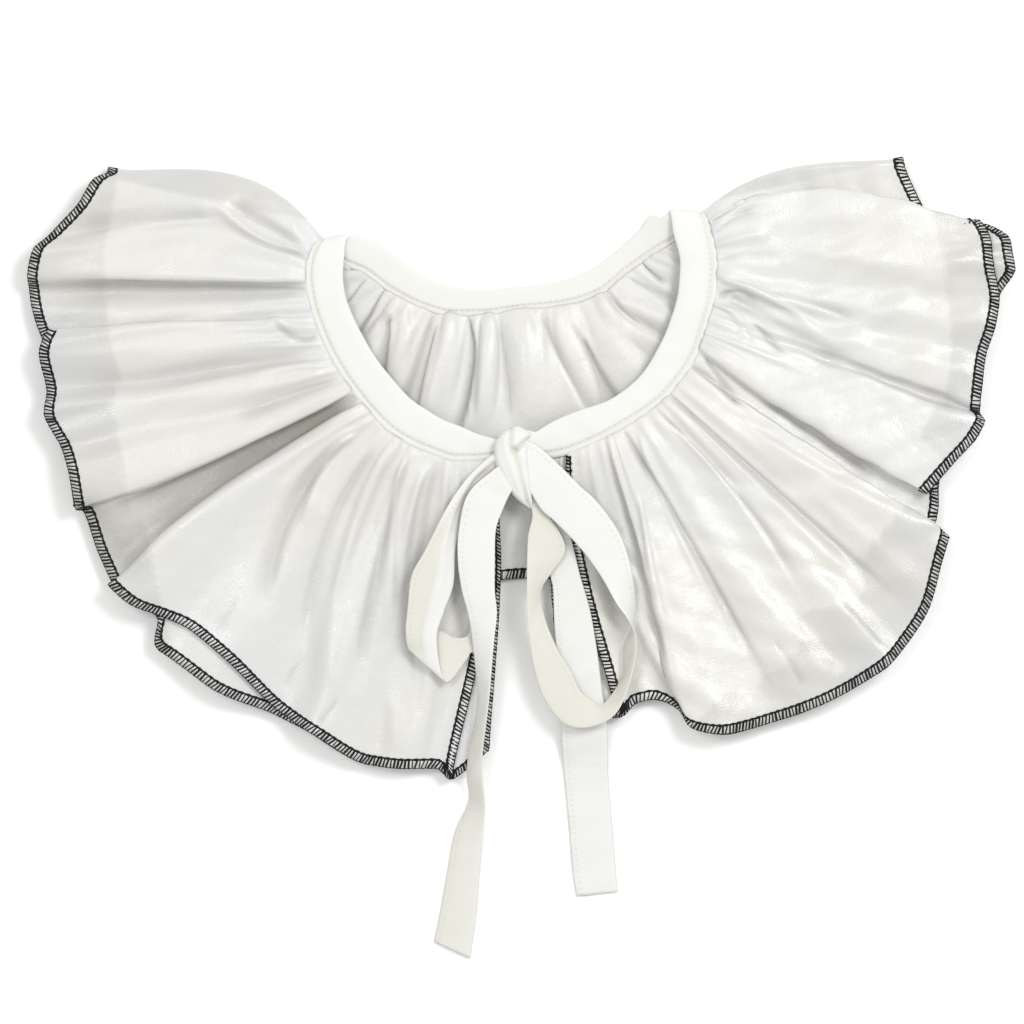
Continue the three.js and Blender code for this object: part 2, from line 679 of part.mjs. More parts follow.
const collar = new THREE.Group();
collar.name = 'ruffle_collar';
const layers = ruffleLayers();
addPiece(collar, 'ruffle_outer', layers.outerSheet, WHITE_ORGANZA, 0.7);
addPiece(collar, 'ruffle_inner', layers.innerSheet, WHITE_ORGANZA, 0.7);
addPiece(collar, 'edging_outer', layers.outerEdging, BLACK_THREAD, 0.8);
addPiece(collar, 'edging_inner', layers.innerEdging, BLACK_THREAD, 0.8);
addPiece(collar, 'neckband', cutAtKnot(neckband()), OFF_WHITE, 0.75);
addPiece(collar, 'bow_knot', knot(0), OFF_WHITE, 0.75);
addPiece(collar, 'bow_loop_left', cutAtKnot(bowStrip(LOOP_LEFT)), OFF_WHITE, 0.75);
addPiece(collar, 'bow_loop_right', cutAtKnot(bowStrip(LOOP_RIGHT)), OFF_WHITE, 0.75);
addPiece(collar, 'tie_end_left', cutAtKnot(bowStrip(TIE_LEFT)), OFF_WHITE, 0.75);
addPiece(collar, 'tie_end_right', cutAtKnot(bowStrip(TIE_RIGHT)), OFF_WHITE, 0.75);


// Origin under the middle of the collar's box
const middle = new THREE.Box3().setFromObject(collar).getCenter(new THREE.Vector3());
for (const piece of collar.children) piece.geometry.translate(-middle.x, -middle.y, 0);

export default collar;
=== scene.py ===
import bpy
import numpy as np
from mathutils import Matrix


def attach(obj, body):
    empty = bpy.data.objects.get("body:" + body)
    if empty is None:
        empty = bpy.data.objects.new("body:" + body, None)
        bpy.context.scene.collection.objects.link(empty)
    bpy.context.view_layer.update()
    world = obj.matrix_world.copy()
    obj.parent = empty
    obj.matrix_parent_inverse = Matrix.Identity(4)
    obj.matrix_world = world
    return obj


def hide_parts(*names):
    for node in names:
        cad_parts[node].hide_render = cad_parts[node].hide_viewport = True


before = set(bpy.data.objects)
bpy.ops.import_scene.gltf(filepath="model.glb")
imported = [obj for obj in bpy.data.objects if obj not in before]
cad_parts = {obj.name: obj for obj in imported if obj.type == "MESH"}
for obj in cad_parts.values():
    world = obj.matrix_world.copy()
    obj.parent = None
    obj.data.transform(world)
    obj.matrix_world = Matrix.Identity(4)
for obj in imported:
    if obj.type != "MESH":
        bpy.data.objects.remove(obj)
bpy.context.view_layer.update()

# Neckband
# A bias strip of off-white cotton folded lengthwise over the gathered seam and edge-stitched, about
# 16 mm wide. In front it lies outer face up; at each side it turns over, so behind it shows its inside.
MM = 0.001
TABLE_CENTRE = np.array([0.45, 1.0, 0.0])
BAND_THICK = 2.6
BAND_STEP = 1.4
BAND_SIDES = 60
EDGE_FULLNESS = 3.5
ROLL = 2.4
ROLL_DEPTH = 0.9
ROLL_HALF_WIDTH = 0.5
PUCKER_HEIGHT = 0.22
WRINKLE_HEIGHT = 0.25
# Painted shade of the band: beige along the groove by the stitching and over its inside face.
GROOVE_SHADE = 0.5
GROOVE_SHADE_PLACE = 0.82
GROOVE_SHADE_SPREAD = 0.1
BAND_INSIDE_SHADE = 0.15
EDGE_STITCH = 3.1
STITCH_LENGTH = 2.2
STITCH_HALF_WIDTH = 0.32
HOLE_SHARE = 0.34
BAND_END = ((0.5, 45, 14), (-0.5, 52.6, 14))
BAND = """
-9.2 40.4 -8.4 48 10.4
-18 39.2 -16.8 50.4 10
-26 39.2 -23.2 53.2 10
-35.2 42 -30.4 56 10
-44 45.6 -37.2 60 10
-52 50.4 -43.2 64 10
-64 62.8 -52 73.6 10
-70.8 72 -57.6 80.8 10
-76.8 82 -62.8 89.6 10
-81.2 92 -66.8 97.6 10
-84.8 103.2 -70 106.8 10
-86.4 114 -70.8 114 9.6
-85.6 120 -70.4 120 8.8
-83.6 124.8 -70 125.6 7.6
-80.4 127.6 -68.8 129.4 5.8
-76.4 123.2 -66.4 130 4.4
-72 118.4 -63.6 129.6 3.8
-63.2 114.4 -56.8 127.2 2.8
-52 106.4 -46.4 119.2 1.8
-40 100.4 -35.2 112.4 1.3
-28 97.2 -25.2 109.2 1.3
-16 97.2 -15.6 108.4 1.3
0 99.2 -0.4 109.6 1.3
16 100.8 14.4 111.6 1.3
32 105.6 28 116.4 1.3
44 114.8 38 123.6 1.3
56 123.2 48.8 133.2 2.6
64.8 128.4 52.8 138.4 3.6
70.4 133.2 56.8 137.2 4.4
73.6 138.4 59.6 139.8 5.8
76.2 134.8 60.4 137.4 7.6
77.6 129.6 61.2 131.2 8.8
79.2 118 64 118.8 10
78.4 106 63.2 107.2 10
75.2 94 60.4 96.8 10
72.8 86 58 90.4 10
69.2 78 54.8 84 10
64.8 72 51.6 78.4 10
60 66 48 73.6 10
54 60.8 42.8 68.8 10
42 52.8 34.8 63.6 10
28 45.6 23.2 59.6 10
16 41.2 12.8 55.2 10
8 40 6.4 51.2 10.4
"""
LEFT_CORNER = 14
RIGHT_CORNER = 29
# White cotton, and the beige it is painted with as shade in its creases, grooves and inside faces.
COTTON_WHITE = (0.73, 0.735, 0.72, 1)
COTTON_PAINTED_SHADE = (0.655, 0.645, 0.585, 1)


def read_table(names, text):
    """Columns of a short table, one row to a line."""
    rows = [[float(word) for word in line.split()] for line in text.strip().splitlines()]
    return {name: np.array(column) for name, column in zip(names.split(), zip(*rows))}


def between_rows(table, t, rounded=False):
    """Values between the rows of a table at positions t counted in rows; rounded may swing past them."""
    result = {}
    for name, v in table.items():
        step = np.diff(v)
        slope = np.concatenate([step[:1], step[:-1] * 0.5 + step[1:] * 0.5, step[-1:]])
        if not rounded:
            product = step[:-1] * step[1:]
            total = step[:-1] + step[1:]
            safe = np.where(product > 0, total, 1)
            slope[1:-1] = np.where(product > 0, 2 * product / safe, 0)
        i = np.clip(np.floor(t).astype(int), 0, len(v) - 2)
        f = t - i
        s = f * f * (3 - 2 * f)
        start = slope[i] * f * (1 - f) ** 2
        end = slope[i + 1] * f * f * (1 - f)
        result[name] = v[i] + (v[i + 1] - v[i]) * s + start - end
    return result


def soft_step(low, high, x):
    t = np.clip((x - low) / (high - low), 0, 1)
    return t * t * (3 - 2 * t)


def ripple(x, seed, waves=5, shortest=1.0, longest=4.0):
    """Smooth irregular line with values between about -1 and 1, the same on every run."""
    chance = np.random.default_rng(seed)
    total = np.zeros_like(x, dtype=float)
    for _ in range(waves):
        length = chance.uniform(shortest, longest)
        total += np.sin(2 * np.pi * (x / length + chance.uniform())) * chance.uniform(0.5, 1)
    return total / (0.75 * waves ** 0.5 * 1.4)


def unit(v):
    return v / np.maximum(np.linalg.norm(v, axis=-1, keepdims=True), 1e-9)


def length_along(line):
    """Distance from the first point of a line to each of its points, along it."""
    return np.concatenate([[0], np.cumsum(np.linalg.norm(np.diff(line, axis=0), axis=1))])


def points_at(places, known, line):
    """Points of a line at given places, where known holds the places of its own points."""
    return np.stack([np.interp(places, known, line[:, k]) for k in range(line.shape[1])], axis=-1)


def make_mesh(name, points, faces, uv=None, shade=None):
    """Object from points in millimetres; uv is each point's place on the flat cloth, shade its tone,
    which carries painted shade.
    """
    mesh = bpy.data.meshes.new(name)
    mesh.from_pydata(((points - TABLE_CENTRE) * MM).tolist(), [], faces)
    if uv is not None:
        layer = mesh.uv_layers.new(name="cloth")
        corners = np.empty(len(mesh.loops), dtype=np.int32)
        mesh.loops.foreach_get("vertex_index", corners)
        layer.data.foreach_set("uv", (uv[corners] * MM).astype(np.float32).ravel())
    if shade is not None:
        mesh.attributes.new("shade", "FLOAT", "POINT").data.foreach_set("value", shade.astype(np.float32))
    mesh.validate()
    mesh.polygons.foreach_set("use_smooth", [True] * len(mesh.polygons))
    mesh.update()
    piece = bpy.data.objects.new(name, mesh)
    bpy.context.collection.objects.link(piece)
    return piece


def tube_faces(rings, sides, closed=False):
    """Faces of a tube whose points come ring after ring, with flat caps unless it closes on itself."""
    faces = []
    for k in range(rings if closed else rings - 1):
        a, b = k * sides, ((k + 1) % rings) * sides
        for j in range(sides):
            n = (j + 1) % sides
            faces.append((a + j, a + n, b + n, b + j))
    if not closed:
        faces.append(tuple(reversed(range(sides))))
        last = (rings - 1) * sides
        faces.append(tuple(last + j for j in range(sides)))
    return faces


def strip_piece(name, edge_a, edge_b, thick, step, sides, relief, painted_shade, stitched_b=False):
    """Closed strip of folded cloth between two edges.

    relief gives how far each face stands out, the other function how much beige painted shade lies on
    each point.
    """
    length = length_along((edge_a + edge_b) / 2)
    rings = max(8, int(length[-1] / step))
    places = np.linspace(0, length[-1], rings)
    a = points_at(places, length, edge_a)
    b = points_at(places, length, edge_b)
    along = unit(np.gradient((a + b) / 2, axis=0))
    out = unit(np.cross(along, b - a))
    for _ in range(3):
        out[1:-1] = unit(out[:-2] + 2 * out[1:-1] + out[2:])
    half = sides // 2
    angle = np.pi * np.arange(half) / half
    across = np.concatenate([(1 - np.cos(angle)) / 2, (1 + np.cos(angle)) / 2])
    face = np.concatenate([np.ones(half), -np.ones(half)])
    edge_round = (1 - np.abs(2 * across - 1) ** EDGE_FULLNESS) ** 0.5
    s = places[:, None]
    width = np.linalg.norm(b - a, axis=1)[:, None]
    lift = thick / 2 * edge_round[None, :] + relief(s, across[None, :] * width, width, face[None, :])
    centre = a[:, None, :] + (b - a)[:, None, :] * across[None, :, None]
    points = centre + out[:, None, :] * (lift * face[None, :])[:, :, None]
    from_stitches = (1 - across[None, :] if stitched_b else across[None, :]) * width
    uv = np.stack([np.broadcast_to(s, lift.shape), from_stitches], axis=2)
    shade = np.broadcast_to(painted_shade(s, across[None, :], face[None, :]), lift.shape)
    faces = tube_faces(rings, len(across))
    return make_mesh(name, points.reshape(-1, 3), faces, uv.reshape(-1, 2), shade.reshape(-1))


def new_material(name):
    """Material and its shader, whose inputs are still to be set."""
    material = bpy.data.materials.new(name)
    material.use_nodes = True
    return material, material.node_tree.nodes["Principled BSDF"]


def set_inputs(material, node, inputs):
    """Give inputs plain values, or link them to what other nodes give out."""
    for name, value in inputs.items():
        if isinstance(value, bpy.types.NodeSocket):
            material.node_tree.links.new(value, node.inputs[name])
        else:
            node.inputs[name].default_value = value


def add_node(material, kind, inputs, **settings):
    """New node of a material, with its settings and inputs."""
    node = material.node_tree.nodes.new(kind)
    for name, value in settings.items():
        setattr(node, name, value)
    set_inputs(material, node, inputs)
    return node


def noise_over(material, coordinates, scale, detail=2):
    """Cloudy pattern over one kind of coordinates."""
    inputs = {"Vector": coordinates, "Scale": scale, "Detail": detail}
    return add_node(material, "ShaderNodeTexNoise", inputs).outputs["Fac"]


def raised_by(material, height, strength, distance, **below):
    """Direction of a surface that a pattern lifts, on top of a finer one below it if there is one."""
    inputs = {"Height": height, "Strength": strength, "Distance": distance, **below}
    return add_node(material, "ShaderNodeBump", inputs).outputs["Normal"]


def stitched_cotton(name, white, painted_shade, stitch_place):
    """Matte plain weave with a row of small sunk stitches; where the shade attribute is high it takes the
    beige of painted shade, and so do the stitch marks.
    """
    material, shader = new_material(name)

    def calculate(operation, *numbers):
        node = add_node(material, "ShaderNodeMath", dict(enumerate(numbers)), operation=operation)
        return node.outputs["Value"]

    place = add_node(material, "ShaderNodeTexCoord", {}).outputs
    flat = add_node(material, "ShaderNodeSeparateXYZ", {"Vector": place["UV"]}).outputs
    in_row = calculate("COMPARE", flat["Y"], stitch_place * MM, STITCH_HALF_WIDTH * MM)
    share = calculate("FRACT", calculate("MULTIPLY", flat["X"], 1 / (STITCH_LENGTH * MM)))
    in_hole = calculate("LESS_THAN", share, HOLE_SHARE)
    hole = calculate("MULTIPLY", calculate("MULTIPLY", in_row, in_hole), 0.5)
    shade = add_node(material, "ShaderNodeAttribute", {}, attribute_name="shade")
    uneven = calculate("MULTIPLY", noise_over(material, place["Object"], 60, 3), 0.35)
    # Painted shade from the shade attribute, random cloudiness and the stitch marks together set how
    # beige the cotton is.
    shade_stitches_and_cloud = calculate("ADD", calculate("ADD", uneven, shade.outputs["Fac"]), hole)
    blend = add_node(material, "ShaderNodeMix", {"Factor": shade_stitches_and_cloud, "A": white, "B": painted_shade},
                     data_type="RGBA")
    weave = add_node(material, "ShaderNodeTexWave",
                     {"Vector": place["UV"], "Scale": 420, "Distortion": 1.5})
    height = calculate("SUBTRACT", calculate("MULTIPLY", weave.outputs["Fac"], 0.15), hole)
    set_inputs(material, shader, {
        "Base Color": blend.outputs["Result"],
        "Roughness": 0.75,
        "Specular IOR Level": 0.3,
        "Sheen Weight": 0.12,
        "Normal": raised_by(material, height, 0.8, 0.0003),
    })
    return material


def arch(d, width):
    """1 in the middle of a strip's width, falling to 0 at its edges."""
    return np.sin(np.pi * np.clip(d / width, 0, 1))


def band_relief(s, d, width, face):
    """Rolled seam edge, puckers from the gathers and soft wrinkles across."""
    from_seam = width - d
    groove = -ROLL_DEPTH * np.exp(-((from_seam - ROLL) / ROLL_HALF_WIDTH) ** 2)
    pucker = PUCKER_HEIGHT * ripple(s, 11, 6, 2.4, 6) * np.exp(-from_seam / 4)
    wrinkle = WRINKLE_HEIGHT * ripple(s + 0.5 * d, 12, 5, 9, 30) * arch(d, width)
    return (groove + pucker + wrinkle) * arch(d, width) ** 0.3


def band_painted_shade(s, share, face):
    """Painted shade: a little beige along the stitching groove by the seam edge and over the inside face.
    """
    by_stitches = GROOVE_SHADE * np.exp(-((share - GROOVE_SHADE_PLACE) / GROOVE_SHADE_SPREAD) ** 2)
    return by_stitches + BAND_INSIDE_SHADE * (face < 0)


band = read_table("seamX seamY topX topY z", BAND)
band_fine = between_rows(band, np.arange(0, len(band["z"]) - 1 + 1e-6, 0.1))
band_seam = np.stack([band_fine["seamX"], band_fine["seamY"], band_fine["z"]], axis=1)
band_top = np.stack([band_fine["topX"], band_fine["topY"], band_fine["z"]], axis=1)
cotton = stitched_cotton("stitched_cotton", COTTON_WHITE, COTTON_PAINTED_SHADE, EDGE_STITCH)
band_end_seam, band_end_top = np.array(BAND_END)
neckband_cloth = strip_piece("neckband_cloth", np.vstack([band_top, band_end_top]),
                             np.vstack([band_seam, band_end_seam]), BAND_THICK, BAND_STEP,
                             BAND_SIDES, band_relief, band_painted_shade, stitched_b=True)
neckband_cloth.data.materials.append(cotton)
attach(neckband_cloth, "root")
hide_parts("neckband")

# Outer ruffle layer
# Fine white organza, cut with a flare and gathered into the neckband. It opens in soft radiating folds,
# and at both top edges it turns under, so that its back part lies flat on the table below the front.
CLOTH = 0.3
FRONT_LEVEL = 6.2
FOLD_LEVEL = 3.4
BACK_LEVEL = 0.65
SEAM_OFFSET = 0.6
SEAM_GAP = -0.6
SHOULDER = 2.2
SHOULDER_SEAM = 1.2
FALL_END = 0.35
PAST_HEM = 9.0
LIFT_POWER = 0.6
BOW_PEAK = 0.1859
LOWEST = 0.3
FRONT_COLUMN = 1.5
BACK_COLUMN = 2.0
DEPTH_ROWS = 54
ROW_SPREAD = 1.25
LEFT_FOLDS = """
2 -12.4 -76 0.5 3.5 0
4.2 -27.6 -87.6 1 7 0
12.4 -33.6 -83.2 0 7 0
18.8 -45.6 -83.2 3.5 4 0
26 -60.8 -81.6 1.5 1 0
34 -80.8 -70.4 8 0 0
41 -96 -60.4 2 0 2
48 -117.6 -39.2 7 -1 13
51 -134.4 -26 5 -2 14
53 -144 -22 6 -3 1
56 -155.2 -17.6 8 -4 -1
60 -164 -10 7 -4 0
62 -162.8 -9.6 1 -4 0
64.5 -168.8 3.6 0.5 -2 0
67 -174.4 19.2 1 1 0
69 -176.8 20 7 2 0
72 -180 36 8 2 0
75 -183.2 45.6 5 1 0
82 -189.6 58.4 8 0 0
86 -188.8 67.2 4 0 0
92 -191.6 82.4 8 0 0
101 -188 92.8 6 0 0
103 -190.4 88.8 1 0 0
109 -194.4 98.4 1 0 0
113 -196 107.2 0.5 0 0
115 -196.4 112.8 6 0 0
120 -194.4 123.2 7 -4 0
124.5 -186.8 130.8 5 -8 0
128 -176.8 141.2 7 -10 0
131.5 -170 152.4 4 -12 0
"""
LEFT_FOLD_LINE = (-164.8, 157.2, -14)
BACK_FOLDS = """
12 -164 142 2 0.35
19 -176 122 0 0.35
22 -183 96 3 0.35
25.5 -181.5 75 0 0.35
28.5 -177 58 3 0.4
31.5 -168 42 0 0.4
35 -158 29 3.5 0.45
39 -144 16 0 0.45
46 -118 0 7 0.4
55.5 -88 -12 0 0.45
62 -60 -18 9 0.5
69.5 -38 -16 0 0.5
76 -20 -12 9 0.5
82 -8 -7.8 0 0.5
92 4 -7 9 0.5
101 20 -8 3 0.5
107 40 -16 9 0.5
114.5 64 -20 0 0.5
120 90 -16 7 0.4
125 112 -6 0 0.5
134 136 18 3.5 0.45
143 154 48 0 0.4
149 164 76 3 0.35
156 170 104 0 0.35
165 168 128 2 0.35
172 160 144 0 0.35
"""
RIGHT_FOLDS = """
2 18.4 -58.4 0.5 -2 0
11 39.2 -62.8 1 -4.6 0
16 46.4 -57.2 0.5 -3 0
21 54 -55.6 0.5 -1 0
26 62.8 -59.2 1 0 0
29 66.8 -66 6.5 0 0
33 80.8 -69.2 8 0 0
38 104 -63.6 3 0 0
43 119.2 -58 7 0 0
48 132.8 -51.2 5 0 0
53 148 -40.8 8 0 0
58 154.4 -33.2 5 0 0
62 163.2 -18.8 6 0 0
67 168 -1.2 7 0 0
72 171.2 10.4 6.5 0 0
74 165.6 12.8 1 0 0
76 167.2 22 0.5 0 0
78 166.4 30.4 1 0 0
80 162 26.4 6.5 0 0
84 172.8 38.8 7.5 0 0
88 182 49.2 7 0 0
92 185.6 56.4 6 0 0
94.5 183.4 59 3 0 0
97 183.4 62 6 0 0
100 184.4 72 7 0 0
103.5 186 82 4 0 0
107 189.6 94 7 0 0
111 191.2 104.8 5 0 0
117 188.8 116.8 8 2 8.5
125 187.6 128 6.5 5 8
131 182 136.4 4.6 14 0
132.4 174 131.6 -3.8 12 0
133.8 164.5 135.4 -3.2 10.5 0
135.2 158.4 146.8 -1.8 9.5 0
"""
RIGHT_FOLD_LINE = (153.2, 161.2, 8.5)
GATHER_PITCH = (2.4, 6.4)
GATHER_HEIGHT = (0.5, 1.5)
GATHER_WIDTH = (0.24, 0.38)
GATHER_LEAN = 3
SHORTEST_GATHER = 0.12
GATHER_REACH = 0.6
GATHER_AT_SEAM = 0.45
GATHER_SINK = 0.35
FLATTER_BEHIND = 0.4
PRESSED_SHARE = 0.8
PRESSED_FROM = (0.3, 0.6)
PRESSED_HEIGHT = 1.3
NARROWEST_CREASE = 0.45
CREASE_PARTS = 12
CREASE_START = 0.5
CREASE_WIDENING = 0.7
FADE_IN = (-0.1, 0.12)
FADE_OUT = (0.75, 1.02)
# The dark column is shade painted along a crease, mostly in its dips.
CREASE_COLUMNS = "x1 y1 x2 y2 x3 y3 high dark left right"
FRONT_CREASES = """
-86.4 123.6 -104.8 129.6 -122.8 144.8 2.6 0 2.5 1.2
-88 126.4 -103.2 135.2 -116.8 142.8 -1.4 0.42 2 5
-123.6 136.4 -152 134.4 -179.2 128.8 -0.8 0.3 1 14
-89.6 132.4 -97.6 142 -108 146.8 1 0 2 2
-85.6 112.4 -136 112 -192 112.8 1.8 0 3.5 12
-85.6 110.4 -128 111.2 -188 111.6 -2 0.65 8 0.8
-86 103.6 -128 100.8 -183.2 96.8 1.3 0 10 3
-80.8 90 -88.8 88.4 -100 96.8 -1.5 0.45 1.4 1.4
-82.4 93.2 -92 93.6 -101.6 98 1.3 0 2.5 2.5
-83.2 81.6 -128 75.2 -184 67.2 -1.6 0.32 5 5
-78 77.6 -94 76.8 -108 74.4 1.2 0 2 2
-78 76.8 -104 68.8 -144 62.8 1.8 0 6 6
-72.8 73.6 -94 64.8 -118 56 -1.2 0.34 5 3
-68.8 67.2 -120 43.2 -172.8 20 2.4 0 2 12
-70 64.8 -118 41.6 -171.2 17.6 -1.8 0.8 8 0.7
-67.2 62.4 -113.6 34.4 -164.8 -0.8 -1.2 0.75 4 6
-175.2 24.8 -164 9.6 -153.6 -8 -0.3 0.5 8 8
-63.2 62 -112.8 30.8 -162.8 -8 2.8 0 10 2
-68 52 -84.8 39.2 -98 22 1.6 0 3 3
-67.2 49.6 -79.2 36 -87.2 8 2.4 0 3.5 1.8
-70.4 45.6 -92.8 16 -101.6 -24 -1.8 0.42 3 6
-50 48 -69.6 0 -79.2 -56 3 0 5 6
-59.2 43.2 -77.6 8 -88 -40 -1.6 0.3 3 3
-54.4 44 -67.2 16 -75.2 -20 1.4 0 5 1.2
-44.8 39.2 -56 0 -64.8 -52 -1.8 0.4 3 3
-46.4 39.2 -51.6 8 -51.2 -40 2 0 2 2.5
-36.8 36.8 -46.4 4 -47.2 -56 1.8 0 3 3
-33.6 36 -40 0 -42.4 -64 -1.4 0.36 2.5 3
-52.8 -32 -52 -56 -45.6 -80 1 0 4 4
-36 -32 -36.8 -56 -41.6 -80 1 0 3 3
-72 -55.2 -76.4 -61.2 -81.2 -67.2 -0.8 0.3 0.8 2.5
-115.2 -16 -119.2 -22.4 -122.4 -28.8 -0.7 0.2 2.5 0.8
-88 -40 -92 -46.4 -93.6 -52 -0.7 0.2 2.5 0.8
79.2 126 90 128.8 100.8 130 1.5 0 2 2
78.4 130.4 86 137.6 96 140 -1.2 0.3 1 2.5
76.8 135.2 88 141.6 108 143.2 1.1 0 3 1.5
80 119.2 92 121.6 108 120.8 -0.8 0.2 2.5 2.5
80 113.6 100 106 132 96.8 1.6 0 5 3
81.6 111.6 104 102.8 118.4 90.8 1.7 0 1.3 2
100.8 106.8 116.8 102 135.2 95.2 -0.9 0.35 3.5 0.6
79.2 104.8 88 107.2 95.2 101.6 -1.3 0.35 1.5 1.5
80 100.8 88 95.2 90.4 83.2 1.1 0 2 1.5
80 108 108 91.2 136.8 75.6 -1.6 0.32 4 5
132 77.6 156 68 179.2 60 -1.3 0.28 4 2
94 93.6 100 88 106.4 82 -1.2 0.45 1.2 1.2
72.8 84 112 58 162 27.2 2.4 0 12 2
73.6 80.8 80.8 71.2 89.6 59.2 -1.2 0.45 1.6 1
100 64 123.2 48.8 148 32 -2 0.4 1.6 4
92 52.8 134 27.2 170.4 12 2 0 2.5 10
68 77.6 78.4 70.4 88.8 60 -1.2 0.4 1.4 1.4
59.2 66.8 100 30 154 -17.6 -1.9 0.42 1 4
57.6 65.6 96.8 28.8 136.8 -12.8 1.9 0 3 5
57.6 56 86 27.2 116.8 -20.8 -1.4 0.34 4 1
43.2 49.6 68 8 102.4 -54.4 -2 0.45 0.9 3
48 48 59.2 20 76.8 -16 1.5 0 4 1.6
36.8 39.2 48 0 62.4 -54 -1.2 0.34 0.8 3
26.4 17.6 33.6 -6 40.8 -32 -1 0.7 3.5 3.5
48 24 52.8 -4 59.2 -32 1.4 0 1.6 1.6
48 -29.6 56.8 -43.2 66 -57.6 2 0 8 1.6
80 131.2 132 138.8 164 133.6 1.2 0 8 8
112 124 152 116.8 183.2 104 1 0 5 5
120 24.8 144 1.6 162.4 -18.4 1.2 0.1 6 6
90 -6 112 -32 136.8 -48.8 1 0.1 6 6
50 2 56 -28 68 -56 1.2 0 6 6
100.8 -32 108.8 -43.2 112 -52 -0.7 0.25 2.5 0.8
128 -16 139.2 -27.2 145.6 -35.2 -0.7 0.22 2.5 0.8
"""
BACK_CREASES = """
-62.4 112 -66 107.2 -70.8 101.6 -1.2 0.85 0.6 0.9
-54.8 107.6 -60.8 97.2 -68 84.8 -1.6 1 1.7 1.7
-49.6 104 -55.6 92.8 -61.6 79.2 2.4 0 2.2 2
-52 97.6 -52.4 84 -54.8 64.8 -1.4 1 0.6 4.2
-46.8 98.4 -48 84.8 -50.4 65.6 2.6 0 3.2 1.6
-35.2 97.6 -41.6 79.2 -49.6 56 -1.2 0.6 2.6 2.2
-33.2 92.8 -37.2 75.2 -42.8 52 -1 0.7 0.6 2.6
-28.4 96.8 -31.2 76 -37.6 52 3 0 4.2 2
-20.4 97.6 -18 75.2 -28 39.2 -1.6 1 0.6 3
-12 96.8 -11.6 82 -14.4 52 3 0 1.6 3.2
-16 96 -16 80 -18.4 52 -1 0.4 1 1.2
-7.6 92 -4.8 76 -2.4 52 -1.2 0.4 1 3
-2.4 96 6.4 76 11.6 52 3.6 0 7 7
8.4 97.6 16 79.2 32.8 49.6 -1.6 0.5 4.5 0.6
20.8 93.6 31.2 74 38.4 52 -1 0.45 2.4 2.4
25.6 88 34.4 72.8 44.8 55.2 -1.4 1 1.8 1.8
32.8 105.2 44 93.6 64.8 84 2.6 0 0.8 4
34.4 106.8 46.4 95.6 64 87.2 -1 0.5 4 0.6
48.8 120 52.8 115.6 59.2 110.4 -1.6 1 1 1.6
44 112.8 54.4 107.6 66.4 103.2 -1.2 0.5 2 2
40 104 52 98.4 68 93.6 1.4 0 3 2
"""
BACK_OUTLINE = """
-160.8 152 -164.8 128 -165.6 104 -163.2 88.8 -159.2 74 -163.2 64 -158 42 -156 22 -148.8 10
-132 -60 -80 -95 -20 -95 40 -80 70 -64 82 -52 93.2 -52.8 96.4 -46.4 110.4 -36.8
112.8 -31.2 109.2 -20.4 132.8 -16.4 138 -12 134.4 -1.2 148 16 162 32 168.8 40 159.2 48.8
163.6 59.2 170 64 172 84 170 104 168 124 164 140 154 160 60 140 0 110 -60 130
"""
OUTLINE_BLUR = 1.3
# Painted shade in the dips of the folds darkens the organza towards the dip colour below.
DIP_SHARE = 0.5
# Single organza is greyer and lined organza whiter: partly the cloth beneath showing through, partly
# painted shade of the table under a single layer.
SINGLE_SHARE = 0.88
DIP_SHADE = (0.22, 0.215, 0.185, 1)
SINGLE_WHITE = (0.55, 0.55, 0.55, 1)
LINED_WHITE = (0.63, 0.63, 0.625, 1)
WARM_TINT = (1, 0.988, 0.93, 1)
COOL_TINT = (0.99, 0.988, 0.985, 1)
CLOUDINESS = 0.09
SATIN_ROUGHNESS = (0.24, 0.42)

seam_length = length_along(band_seam[:, :2])
left_corner_seam = seam_length[LEFT_CORNER * 10]
right_corner_seam = seam_length[RIGHT_CORNER * 10]


def seam_points(distance):
    """Points of the seam at distances along it, just inside the band's edge."""
    seam = points_at(distance, seam_length, band_seam)
    top = points_at(distance, seam_length, band_top[:, :2])
    seam[..., :2] += unit(seam[..., :2] - top) * SEAM_GAP
    return seam


def fold_rows():
    """All the folds in one table, from the left end of the strip round to its right end."""
    names = "seam x y lift bow under"
    left = read_table(names, LEFT_FOLDS)
    right = {name: values[::-1] for name, values in read_table(names, RIGHT_FOLDS).items()}
    right["seam"] = seam_length[-1] - right["seam"]
    back = read_table("seam x y lift reach", BACK_FOLDS)
    back["seam"] = back["seam"] + left_corner_seam
    back["bow"] = back["under"] = np.zeros_like(back["x"])
    parts = []
    corners = ((LEFT_FOLD_LINE, left_corner_seam, 1), (RIGHT_FOLD_LINE, right_corner_seam, -1))
    for line, corner, turn in corners:
        order = [0, 1, 2][::turn]
        parts.append({
            "seam": corner + np.array([-1, 0, 1]) * SHOULDER_SEAM,
            "x": np.full(3, line[0]),
            "y": line[1] - np.array([SHOULDER, 0, SHOULDER]),
            "bow": np.full(3, float(line[2])),
            "level": np.array([FRONT_LEVEL, FOLD_LEVEL, BACK_LEVEL])[order],
            "facing": np.array([1.0, 0.0, -1.0])[order],
        })
    for part, level, facing in ((left, FRONT_LEVEL, 1), (right, FRONT_LEVEL, 1), (back, BACK_LEVEL, -1)):
        part["level"] = np.full(len(part["x"]), level)
        part["facing"] = np.full(len(part["x"]), float(facing))
    for part in (left, right, *parts):
        part["reach"] = np.full(len(part["x"]), PAST_HEM)
    for part in parts:
        part["lift"] = part["under"] = np.zeros(3)
    order = (left, parts[0], back, parts[1], right)
    return {name: np.concatenate([part[name] for part in order]) for name in left}


